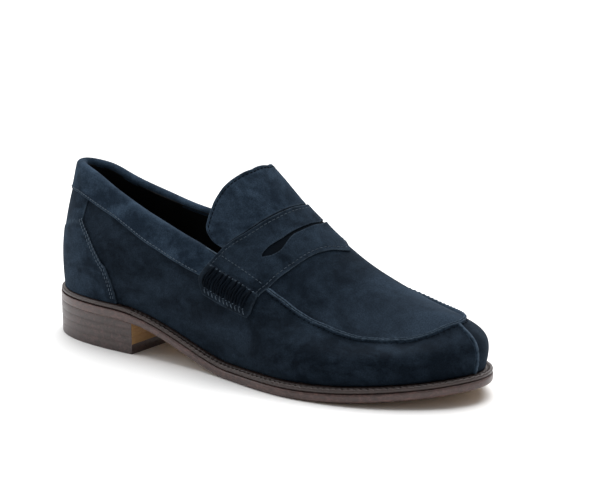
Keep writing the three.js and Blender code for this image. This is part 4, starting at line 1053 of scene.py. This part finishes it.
class LOAFER_OT_foxing(PieceOperator):
    """Heel foxing: a sheet over the back of the upper. Below a level ledge it is one layer
    thicker. Two rows of stitches follow its slanted front edge"""
    bl_idname = "loafer.foxing"
    bl_label = "Heel foxing"

    def build(self, z):
        U, V = np.meshgrid(2 * edge_steps(150) - 1, edge_steps(90), indexing="ij")
        G0 = V * 0.592
        A = U * foxing_front(G0)
        G = V * (band_low(np.abs(A)) + 0.012)
        P, N = surface(A, G)
        ledge = 0.405 + 0.065 * smooth(np.abs(A), 8, 38)
        step = smooth(ledge - G, -0.002, 0.010)
        low = TRIM_IN - 0.45
        high = low + z.trim * 800
        points, faces, rim = skin(P, N, low, high + step * 0.55, 0.6, "uUV",
                                  lift=waves(P, 0.08))
        lip = np.exp(-((ledge - G - 0.004) / 0.006) ** 2) * 0.5
        rim = rim * 0.55 + np.tile(lip.ravel(), 2)
        piece = make_piece("heel_foxing_suede", (points, faces), "suede_foxing",
                           marks={"rim": rim})
        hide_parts("heel_foxing")
        parts = []
        g = np.linspace(0.49, 0.035, 160)
        for side in (-1, 1):
            P, N = surface(side * foxing_front(g), g)
            P = P + N * (high + 0.52)
            for d in (1.5, 3.3):
                row = beside(P, N, side * d)
                parts.append(stitches(row, N, z.stitch * 900, z.stitch * 700, 0.34, 0.14,
                                      slant=0.35 * side))
        make_piece("foxing_stitches", join(*parts), "thread")


class LOAFER_OT_collar(PieceOperator):
    """Padded collar: a band of suede that climbs the quarter, rolls over the topline on a
    half circle and goes down inside, as one skin with a stitch row along its lower edge"""
    bl_idname = "loafer.collar"
    bl_label = "Padded collar"

    def build(self, z):
        n = 380
        t = np.linspace(-1, 1, n)
        t[[1, 2, 3]] = -1 + np.array([0.0006, 0.0018, 0.004])
        t[[-4, -3, -2]] = 1 - np.array([0.004, 0.0018, 0.0006])
        last = 80.0
        base = t * last
        clear = z.under_strap * 1000

        def angle(g):
            half = np.abs(base)[:, None]
            k = np.clip(1 - (last - half) / 16, 0, 1)
            end = angle_of(strap_rear(g) + clear)
            return np.sign(t)[:, None] * (half + (end - last) * k)
        rows = 26
        w = edge_steps(2 * rows)[:rows] * 2
        w = w / w[-1]
        g_top = TOPLINE + 0 * base
        lowest = band_low(np.abs(base))
        below = upper_point(base, g_top) - upper_point(base, g_top - 0.02)
        centre = g_top - z.collar_drop * 1000 / (np.linalg.norm(below, axis=-1) / 0.02)
        G = lowest[:, None] + (centre - lowest)[:, None] * w[None]
        A = angle(G)
        P, N = surface(np.mod(A, 360), G)
        end = np.minimum(1, (1 - np.abs(t)) * 130 / 9)
        outer = 0.38 + (TRIM_OUT - 0.38) * smooth(end, 0, 1)
        inner = -3.9 + 0.7 * (1 - smooth(end, 0, 1))
        swell = z.collar_swell * 1000 * smooth(end, 0, 1)[:, None] * smooth(w, 0.15, 1)[None]
        face = P + N * (outer[:, None] + swell)[..., None]
        C, Nc = P[:, -1], N[:, -1]
        up = unit(upper_point(np.mod(A[:, -1], 360), centre + 0.012) - C)
        r = (outer + swell[:, -1] - inner) / 2
        m = inner + r
        theta = np.linspace(0, math.pi, 17)[1:]
        roll = (C[:, None] + Nc[:, None] * (m[:, None] + r[:, None] * np.cos(theta))[..., None]
                + up[:, None] * (r[:, None] * np.sin(theta) * 0.95)[..., None])
        down = np.linspace(0, z.collar_turn * 1000, 9)[1:]
        inside = (C[:, None] + Nc[:, None] * inner[:, None, None]
                  - up[:, None] * down[None, :, None])
        S = np.concatenate([face, roll, inside], 1)
        S = S + 0.12 * np.sin(base / 3.7)[:, None, None] * Nc[:, None] * smooth(
            np.arange(S.shape[1]), 18, 26)[None, :, None]
        M = unit(np.cross(np.gradient(S, axis=1), np.gradient(S, axis=0)))
        points, faces, rim = skin(S, M, -1.15, 0.0, 0.6)
        piece = make_piece("collar_suede", (points, faces), "suede_collar",
                           marks={"rim": rim * 0.75})
        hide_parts("collar_band")
        low, normal = (face[:, 0] + N[:, 0] * 0.02)[4:-4], N[4:-4, 0]
        row = beside(low, normal, 1.3, goal=face[n // 2, 6])
        shape = stitches(row, normal, z.stitch * 900, z.stitch * 720, 0.32, 0.1)
        make_piece("collar_stitches", shape, "thread")


class LOAFER_OT_strap(PieceOperator):
    """Saddle strap: two sheets that meet on a middle line, which parts round the slot; the
    slot's front lip is lifted by a bell curve. Stitch rows follow its edges"""
    bl_idname = "loafer.strap"
    bl_label = "Saddle strap"

    LOW = 0.4                    # underside over the upper's surface
    ROW_IN = 2.4                 # edge to stitches
    SHADE_SHEET_HALF = 3.5           # half width of the dark sheet in the slot: painted shade

    def build(self, z):
        n, m = 340, 34
        g = STRAP_END - 0.012 + (2 - 2 * STRAP_END + 0.024) * edge_steps(n)
        h = np.minimum(g, 2 - g)
        by_slot = np.maximum(h, SLOT_END)
        w = np.clip((h - SLOT_END) / 0.05, 0, 1)
        k = np.sqrt(np.clip(1 - (1 - w) ** 2, 0, 1))
        rear, front = strap_rear(h), strap_front(h)
        middle = (slot_rear(by_slot) + slot_front(by_slot)) / 2
        drift = smooth(SLOT_END - h, 0, 0.1)
        centre = middle * (1 - drift) + (rear + front) / 2 * drift
        low_lip = centre - (middle - slot_rear(by_slot)) * k
        high_lip = centre + (slot_front(by_slot) - middle) * k
        high_lip = high_lip - 0.6 * (high_lip - low_lip) * smooth(h, 0.8, 0.88)
        girth, inside, sheets = np.repeat(g[:, None], m, 1), h > SLOT_END, []
        for first, last, edges, lip in ((rear, low_lip, "uUv", -1), (high_lip, front, "uUV", 0)):
            S = first[:, None] + (last - first)[:, None] * edge_steps(m)
            sheets.append((*surface(*across(S, girth)), edges, lip))
        lips = np.concatenate([P[inside, lip] for P, N, edges, lip in sheets])
        high = self.LOW + z.strap * 1000
        parts, rims = [], []
        for P, N, edges, lip in sheets:
            edge = edge_distance(P, edges)
            near = np.linalg.norm(P[:, :, None] - lips[None, None, ::3], axis=-1).min(-1)
            near[inside, lip] = 0
            seam = np.exp(-((edge - self.ROW_IN) / 0.7) ** 2) * 0.22
            raised = 0.0
            if edges == "uUV":
                bell = np.exp(-((h - 0.83) / 0.045) ** 2) + np.exp(-((h - 0.93) / 0.06) ** 2)
                raised = z.slot_lip * 1000 * np.minimum(bell, 1)[:, None] * np.exp(-near / 4.0)
            drop = 0.15 * smooth(edge_distance(P, "uU"), 0, 5) - 0.15
            points, faces, rim = skin(P, N, self.LOW, high, 0.5, distance=np.minimum(edge, near),
                                      lift=raised - seam + drop)
            parts.append((points, faces))
            rims.append(rim)
        piece = make_piece("saddle_strap_suede", join(*parts), "suede_strap",
                           marks={"rim": np.concatenate(rims)})
        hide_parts("saddle_strap")
        self.backing()
        self.rows(z, high, sheets)

    def backing(self):
        # A dark sheet under the slot: painted shade in the slot's opening.
        g = np.linspace(SLOT_END - 0.01, 2 - SLOT_END + 0.01, 120)
        h, n = np.clip(np.minimum(g, 2 - g), SLOT_END, 1), 24
        S = np.linspace(-self.SHADE_SHEET_HALF, self.SHADE_SHEET_HALF, n)[None]
        S = S + (slot_rear(h) + slot_front(h))[:, None] / 2
        P, N = surface(*across(S, np.repeat(g[:, None], n, 1)))
        make_piece("slot_backing", skin(P, N, 0.1, self.LOW + 0.1, 0.3)[:2],
                   "slot")

    def rows(self, z, high, sheets):
        """Stitches along both long edges and across the strap beside each tab."""
        rows, mid = [], len(sheets[0][0]) // 2
        for (P, N, _, _), edge, goal in ((sheets[0], 0, 8), (sheets[1], -1, -9)):
            row = beside(P[:, edge], N[:, edge], self.ROW_IN, goal=P[mid, goal])
            row, normal = row[6:-6], N[6:-6, edge]
            rows.append(stitches(row + normal * (high - 0.16), normal, z.stitch * 1000,
                                 z.stitch * 760, 0.31, 0.08))
        h, n = 0.668, 80
        s = np.linspace(float(strap_rear(h)) + 3, float(strap_front(h)) - 3, n)
        for g in (h, 2 - h):
            P, N = surface(*across(s, np.full(n, g)))
            rows.append(stitches(P + N * high, N, z.stitch * 1000, z.stitch * 740, 0.3, 0.05))
        make_piece("strap_stitches", join(*rows), "soft_thread")


class LOAFER_OT_tabs(PieceOperator):
    """Strap-end tabs: a sheet with a swelling along its upper part, wound with thick double
    loops, and slanted stitches along the lower edge"""
    bl_idname = "loafer.tabs"
    bl_label = "Strap-end tabs"

    LOOPS = 9
    LOOP_FOOT, LOOP_HEAD = 0.26, 0.98      # heights of a loop's ends as shares of the tab's

    def height(self, v, z):
        """Swelling of the roll: a bell across the tab."""
        return z.roll * 1000 * np.exp(-((v - 0.6) / 0.24) ** 2)

    def place(self, side, u, v, round_off=0.0):
        """Surface at shares u along and v up a side's tab, whose ends can be rounded off."""
        g = TAB_LOW - 0.006 + (TAB_HIGH + 0.02 - TAB_LOW) * v
        rear, front = strap_rear(g) + round_off, strap_front(g) - round_off
        return surface(*across(rear + (front - rear) * u, 2 - g if side == "medial" else g))

    def row(self, side, z, v, first, last, face, *thread, **slant):
        P, N = self.place(side, np.linspace(first, last, 120), np.full(120, v))
        return stitches(P + N * (face + self.height(v, z)), N, *thread, **slant)

    def loop(self, side, z, i, lean):
        """Half of a double loop of thread, which leans forwards or back."""
        v = np.linspace(self.LOOP_FOOT, self.LOOP_HEAD, 34)
        w = (v - v[0]) / (v[-1] - v[0])
        u = (0.1 + 0.8 * (i + 0.5) / self.LOOPS + 0.008 * math.sin(4.1 * i) + 0.03 * (w - 0.5)
             + lean * (0.026 * np.sin(math.pi * w) ** 0.7 * np.cos(1.35 * w) + 0.003))
        P, N = self.place(side, u, v)
        dip = 1.4 * (1 - np.clip(np.minimum(v - v[0], v[-1] - v) / 0.05, 0, 1)) ** 2
        dip = dip - 0.25 * (lean > 0) * np.sin(math.pi * w)
        lift = TAB_FACE + self.height(v, z) + 0.28 + 0.2 * math.sin(2.3 * i + lean) - dip
        P = P + N * lift[:, None]
        T = unit(np.gradient(P, axis=0))
        B = unit(np.cross(T, N))
        phi = np.arange(8) * math.pi / 4
        profile = z.loop_thread * 500 * np.stack([np.cos(phi), np.sin(phi)], -1)
        return sweep(P, B, unit(np.cross(B, T)), profile)

    def build(self, z):
        U, V = np.meshgrid(edge_steps(110), edge_steps(50), indexing="ij")
        round_off = 0.84 * (1 - np.sqrt(np.clip(1 - (2 * V - 1) ** 2, 0, 1)))
        ends = smooth(np.clip(np.minimum(U, 1 - U) / 0.08, 0, 1), 0, 1)
        swell = self.height(V, z) * (0.3 + 0.7 * ends)
        for side in ("lateral", "medial"):
            P, N = self.place(side, U, V, round_off)
            points, faces, rim = skin(P, N, TRIM_IN, TAB_FACE + swell, 0.9)
            piece = make_piece("strap_tab_suede_" + side, (points, faces), "suede_tab",
                               marks={"rim": rim * 0.35})
            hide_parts("strap_tab_" + side)
            shape = join(*[self.loop(side, z, i, lean) for i in range(self.LOOPS)
                           for lean in (-1, 1)])
            make_piece("tab_loops_" + side, shape, "dark_thread")
            slant = 0.9 if side == "medial" else -0.9
            shape = join(
                self.row(side, z, 0.15, 0.07, 0.93, TAB_FACE, 3.3, 3.0, 0.38, 0.14, slant=slant),
                *[self.row(side, z, v, first, 0.94, TAB_FACE + 0.05, 2.7, 1.3, 0.3, 0.1, slant=0.5)
                  for v, first in ((0.97, 0.06), (0.25, 0.1))])
            make_piece("tab_stitches_" + side, shape, "thread")


class LOAFER_OT_tongue(PieceOperator):
    """Tongue and its lining: sheets on the instep's surface from a curved rear edge to the
    strap, with a pressed line and stitches along the edge. They ride on the tongue body"""
    bl_idname = "loafer.tongue"
    bl_label = "Tongue"

    def grid(self, edge, rear_in, front_in, n, m):
        g = edge + (2 - 2 * edge) * edge_steps(n)
        h = np.minimum(g, 2 - g)
        front = np.minimum(strap_rear(h), TONGUE_OPEN + 1) - 0.6 - front_in
        rear = np.minimum(tongue_rear(h) + rear_in, front - 1.2)
        round_off = 9 * (1 - np.sqrt(np.clip(1 - (1 - np.clip((h - edge) / 0.035, 0, 1)) ** 2,
                                             0, 1)))
        rear = np.minimum(rear + round_off, front - 1.0)
        S = rear[:, None] + (front - rear)[:, None] * edge_steps(m)
        A, G = across(S, np.repeat(g[:, None], m, 1))
        return surface(A, G)

    def build(self, z):
        P, N = self.grid(TONGUE_EDGE, 0, 0, 220, 60)
        d = edge_distance(P, "uUv")
        press = 0.3 * np.exp(-((d - 2.3) / 0.7) ** 2)
        crown = 0.25 * smooth(d, 3, 14)
        points, faces, rim = skin(P, N, SHELL_OUT - 1.4, SHELL_OUT, 0.7, lift=crown - press)
        piece = make_piece("tongue_suede", (points, faces), "suede_tongue",
                           body="tongue", marks={"rim": rim * 0.8})
        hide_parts("tongue")
        row = beside(P[:, 0], N[:, 0], 2.3, goal=P[len(P) // 2, 10])
        shape = stitches(row[10:-10], N[10:-10, 0], z.stitch * 950, z.stitch * 720, 0.31,
                         0.1)
        make_piece("tongue_stitches", shape, "dark_thread",
                   body="tongue")
        P, N = self.grid(TONGUE_EDGE + 0.004, 0.5, 0.4, 160, 40)
        shape = skin(P, N, SHELL_OUT - 2.4, SHELL_OUT - 1.3, 0.45)[:2]
        piece = make_piece("tongue_lining_leather", shape, "lining",
                           body="tongue")
        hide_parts("tongue_lining")


class LOAFER_OT_lining(PieceOperator):
    """Linings and sock: an inner sheet parallel to the upper, in a rear and a front piece,
    and a thin sock on the insole with a rounded edge"""
    bl_idname = "loafer.lining"
    bl_label = "Linings and sock"

    def build(self, z):
        split = 84.0                 # angle where the two linings meet
        u = np.linspace(-split, split, 300)
        A, G = np.meshgrid(u, 0.008 + edge_steps(50) * (TOPLINE - 0.022), indexing="ij")
        P, N = surface(A, G)
        shape = skin(P, N, LINING_IN, LINING_OUT, 0.4, lift=waves(P, 0.1))[:2]
        piece = make_piece("quarter_lining_leather", shape, "lining")
        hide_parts("quarter_lining")
        start = split + 0.1
        u = np.linspace(start, 180, 150)
        u = np.r_[u, 360 - u[-2::-1]]
        v = np.r_[edge_steps(40) * 0.655 + 0.01, np.linspace(0.68, 1, 30)]
        V, U = np.meshgrid(v, u)
        half = np.minimum(U, 360 - U)
        rear = float(angle_of(180.0))
        want = start + (rear - start) * np.clip((V - 0.64) / 0.36, 0, 1)
        k = np.clip(1 - (half - start) / 40, 0, 1)
        a = half + (want - start) * k
        P, N = surface(np.where(U <= 180, a, 360 - a), V)
        shape = skin(P, N, LINING_IN, LINING_OUT, 0.4, "uUv")[:2]
        piece = make_piece("vamp_lining_leather", shape, "lining")
        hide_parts("vamp_lining")
        ang = station_angles(260)
        wall = feather_in(ang) + 5.0
        base, top = FEATHER_H + 2.7, FEATHER_H + 3.9
        rows = [(8, 0, 0), (1.2, 0, 0), (0.4, 0, 0.3), (0.25, 1, -0.35), (0.6, 1, -0.1),
                (1.3, 1, 0), (8, 1, 0)]
        shape = block(lambda i: inset_point(ang, wall + i), rows,
                      lambda x: sole_z(x) + base, lambda x: sole_z(x) + top, strips=True)
        piece = make_piece("sock_leather", shape, "lining",
                           sharp=50)
        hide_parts("sock_liner")
        parts = []
        for part in (slice(5, 125), slice(-125, -5)):
            row = inset_point(ang[part], wall[part] + 6.0)
            P = np.c_[row, sole_z(row[:, 0]) + top]
            parts.append(stitches(P, np.tile([0, 0, 1.0], (len(P), 1)), 3.2, 2.3, 0.22, 0.04))
        make_piece("sock_stitches", join(*parts), "dark_thread")


class LOAFER_OT_inner_plies(PieceOperator):
    """Gives the hidden solids their own finishes: fillers, shank, stiffeners, nails"""
    bl_idname = "loafer.inner_plies"
    bl_label = "Hidden plies"

    FINISH = {"heel_filler": "cork", "cork_filler": "cork", "insole": "insole", "shank": "steel",
              "heel_stiffener": "board", "medial_reinforcement": "board",
              "lateral_reinforcement": "board", "toe_puff": "board", "collar_padding": "foam",
              "heel_nail_1": "steel", "heel_nail_2": "steel", "heel_nail_3": "steel",
              "heel_nail_4": "steel"}

    def build(self, z):
        for node, finish in self.FINISH.items():
            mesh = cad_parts[node].data
            mesh.materials.clear()
            mesh.materials.append(material(finish))


class LOAFER_OT_stage(bpy.types.Operator):
    """Floor, soft lights, backdrop and camera"""
    bl_idname = "loafer.stage"
    bl_label = "Stage"
    bl_options = {"REGISTER", "UNDO"}

    FLOOR_HALF = 12.0
    SUN_FROM, SUN_ANGLE = (-0.25, 0.45, 1), 70
    CENTRE = Vector((0, 0, 0.05))        # what the softboxes face

    def put(self, name, data):
        thing = bpy.data.objects.new(name, data)
        bpy.context.scene.collection.objects.link(thing)
        return thing

    def execute(self, context):
        s, scene = context.scene.loafer_stage, context.scene
        self.floor(s)
        world = bpy.data.worlds.new("soft studio")
        world.use_nodes = True
        sky = world.node_tree.nodes["Background"].inputs
        sky["Color"].default_value, sky["Strength"].default_value = (1, 1, 1, 1), s.sky
        scene.world = world
        for name, place, size, power in (
                ("overhead softbox", (0.15, 0.35, 1.5), 1.5, s.overhead),
                ("left softbox", (-1.5, -0.7, 0.9), 1.1, s.side),
                ("front fill", (0.9, -1.6, 0.7), 1.2, s.fill)):
            light = bpy.data.lights.new(name, "AREA")
            light.shape, light.size, light.energy = "SQUARE", size, power
            lamp, facing = self.put(name, light), self.CENTRE - Vector(place)
            lamp.location = place
            lamp.rotation_euler = facing.to_track_quat("-Z", "Y").to_euler()
        light = bpy.data.lights.new("wide soft light", "SUN")
        light.energy, light.angle = s.sun, math.radians(self.SUN_ANGLE)
        lamp = self.put("wide soft light", light)
        lamp.rotation_euler = Vector(self.SUN_FROM).to_track_quat("Z", "Y").to_euler()
        self.camera(s)
        scene.view_settings.view_transform = "Standard"
        return {"FINISHED"}

    def floor(self, s):
        mesh, w = bpy.data.meshes.new("floor"), self.FLOOR_HALF
        mesh.from_pydata([(-w, -w, 0), (w, -w, 0), (w, w, 0), (-w, w, 0)], [], [(0, 1, 2, 3)])
        mat = bpy.data.materials.new("pale floor")
        mat.use_nodes = True
        shader = mat.node_tree.nodes["Principled BSDF"].inputs
        shader["Base Color"].default_value = rgba(s.floor_colour)
        shader["Roughness"].default_value = 0.5
        shader["Specular IOR Level"].default_value = 0.2
        mesh.materials.append(mat)
        self.put("floor", mesh)

    def camera(self, s):
        """Camera on a sphere round the shoe's middle, moved sideways and up in its own view."""
        camera = bpy.data.cameras.new("camera")
        camera.lens, camera.sensor_width = s.lens, 36.0
        camera.clip_start, camera.clip_end = 0.05, 60.0
        az, el = s.azimuth, s.elevation
        back = Vector((math.sin(az) * math.cos(el), -math.cos(az) * math.cos(el), math.sin(el)))
        right = Vector((math.cos(az), math.sin(az), 0))
        up = back.cross(right)
        spot = (Vector((LENGTH / 2, 0, 35)) + Vector(SHIFT)) / 1000
        spot += back * s.distance + right * s.aim_right + up * s.aim_up
        eye = self.put("camera", camera)
        turn = Matrix((right, up, back)).transposed().to_4x4()
        eye.matrix_world = Matrix.Translation(spot) @ turn
        bpy.context.scene.camera = eye


OPERATORS = (LOAFER_OT_outsole, LOAFER_OT_welt, LOAFER_OT_heel, LOAFER_OT_sides,
             LOAFER_OT_apron, LOAFER_OT_foxing, LOAFER_OT_collar, LOAFER_OT_strap,
             LOAFER_OT_tabs, LOAFER_OT_tongue, LOAFER_OT_lining, LOAFER_OT_inner_plies,
             LOAFER_OT_stage)


# ---------------------------------------------------------------- settings
def length(name, description, default, low=0.0, high=0.02):
    return FloatProperty(name=name, description=description, default=default, min=low, max=high,
                         unit="LENGTH", subtype="DISTANCE", precision=5)


def colour(name, description, default):
    return FloatVectorProperty(name=name, description=description, default=default, size=3,
                               min=0.0, max=1.0, subtype="COLOR")


class LoaferSizes(bpy.types.PropertyGroup):
    suede: length("Suede", "Thickness of the side panels and the apron", 0.0014)
    trim: length("Trim", "Thickness of the foxing", 0.0012)
    strap: length("Strap", "Thickness of the saddle strap", 0.0009)
    stitch: length("Stitch pitch", "Length of one stitch with its gap", 0.0028)
    welt_stitch: length("Welt stitch pitch", "Length of one welt stitch with its gap", 0.0036)
    welt_dip: length("Welt dip", "Depth of the wheel marks between the welt stitches", 0.00045)
    channel_depth: length("Channel depth", "Depth of the line under the outsole", 0.00025)
    seam_height: length("Apron seam height", "How far the apron seam stands up", 0.0018)
    split_height: length("Toe seam height", "How far the toe seam stands up", 0.0013)
    collar_drop: length("Collar drop", "Topline to the middle of the collar's roll", 0.0026)
    collar_swell: length("Collar swell", "How far the padding pushes the collar out", 0.0005)
    collar_turn: length("Collar turn-in", "How far the collar goes down inside", 0.0012)
    under_strap: length("Collar under strap", "How far the collar runs under the strap", 0.0022)
    slot_lip: length("Slot lip", "How far the slot's front lip is lifted", 0.0008)
    roll: length("Tab roll", "Height of the swelling on the strap-end tabs", 0.0015)
    loop_thread: length("Loop thread", "Diameter of the thread wound on the tabs", 0.0015)


class LoaferColours(bpy.types.PropertyGroup):
    suede_dark: colour("Suede, dark", "Suede brushed one way", (0.003, 0.006, 0.0104))
    suede_light: colour("Suede, light", "Suede brushed the other way", (0.0132, 0.0216, 0.0332))
    suede_edge: colour("Suede, cut edge", "Bare cut edges and rubbed ridges",
                       (0.052, 0.074, 0.1))
    thread: colour("Thread", "Upper stitching", (0.07, 0.098, 0.13))
    dark_thread: colour("Dark thread", "Loops on the strap-end tabs", (0.0034, 0.0062, 0.0105))
    sole_thread: colour("Welt thread", "Welt stitching", (0.045, 0.036, 0.034))
    lining: colour("Lining", "Lining and sock leather", (0.007, 0.008, 0.01))
    raw_leather: colour("Raw leather", "Underside of the sole and heel breast",
                        (0.4, 0.23, 0.095))
    edge_paint: colour("Edge paint", "Outsole edge", (0.06, 0.032, 0.028))
    heel_paint: colour("Heel paint", "Sides of the heel", (0.05, 0.031, 0.029))
    welt_paint: colour("Welt paint", "Welt and rand", (0.03, 0.017, 0.015))


class LoaferStage(bpy.types.PropertyGroup):
    floor_colour: colour("Floor", "Colour of the floor", (0.78, 0.78, 0.78))
    sky: FloatProperty(name="Sky", description="Strength of the backdrop's light", default=0.4)
    sun: FloatProperty(name="Sun", description="Strength of the wide soft light", default=4.4)
    overhead: FloatProperty(name="Overhead", description="Power of the overhead softbox",
                            default=12.0, subtype="POWER")
    side: FloatProperty(name="Side", description="Power of the left softbox", default=6.0,
                        subtype="POWER")
    fill: FloatProperty(name="Fill", description="Power of the front fill", default=0.8,
                        subtype="POWER")
    lens: FloatProperty(name="Lens", description="Focal length", default=142.79,
                        subtype="DISTANCE_CAMERA")
    azimuth: FloatProperty(name="Azimuth", description="Turn of the view from the lateral side",
                           default=math.radians(35.522), subtype="ANGLE")
    elevation: FloatProperty(name="Elevation", description="Height of the view",
                             default=math.radians(13.738), subtype="ANGLE")
    distance: FloatProperty(name="Distance", description="From the middle of the shoe",
                            default=1.43173, unit="LENGTH")
    aim_right: FloatProperty(name="Aim right", description="Camera moved to its right",
                             default=0.025165, unit="LENGTH")
    aim_up: FloatProperty(name="Aim up", description="Camera moved upwards", default=0.032019,
                          unit="LENGTH")


class LOAFER_PT_panel(bpy.types.Panel):
    """Sizes, colours and the operators of the shoe"""
    bl_idname = "LOAFER_PT_panel"
    bl_label = "Penny loafer"
    bl_space_type = "VIEW_3D"
    bl_region_type = "UI"
    bl_category = "Loafer"

    def draw(self, context):
        layout = self.layout
        for key in ("loafer_sizes", "loafer_colours", "loafer_stage"):
            settings = getattr(context.scene, key)
            box = layout.box()
            for name in settings.bl_rna.properties.keys():
                if name not in ("rna_type", "name"):
                    box.prop(settings, name)
        column = layout.column(align=True)
        for operator in OPERATORS:
            column.operator(operator.bl_idname)


SETTINGS = (("loafer_sizes", LoaferSizes), ("loafer_colours", LoaferColours),
            ("loafer_stage", LoaferStage))


def register():
    for key, kind in SETTINGS:
        bpy.utils.register_class(kind)
        setattr(bpy.types.Scene, key, PointerProperty(type=kind))
    for kind in (*OPERATORS, LOAFER_PT_panel):
        bpy.utils.register_class(kind)


def unregister():
    for kind in reversed((*OPERATORS, LOAFER_PT_panel)):
        bpy.utils.unregister_class(kind)
    for key, kind in reversed(SETTINGS):
        delattr(bpy.types.Scene, key)
        bpy.utils.unregister_class(kind)


def main():
    register()
    for kind in OPERATORS:
        group_name, name = kind.bl_idname.split(".")
        getattr(getattr(bpy.ops, group_name), name)()


if __name__ == "__main__":
    main()
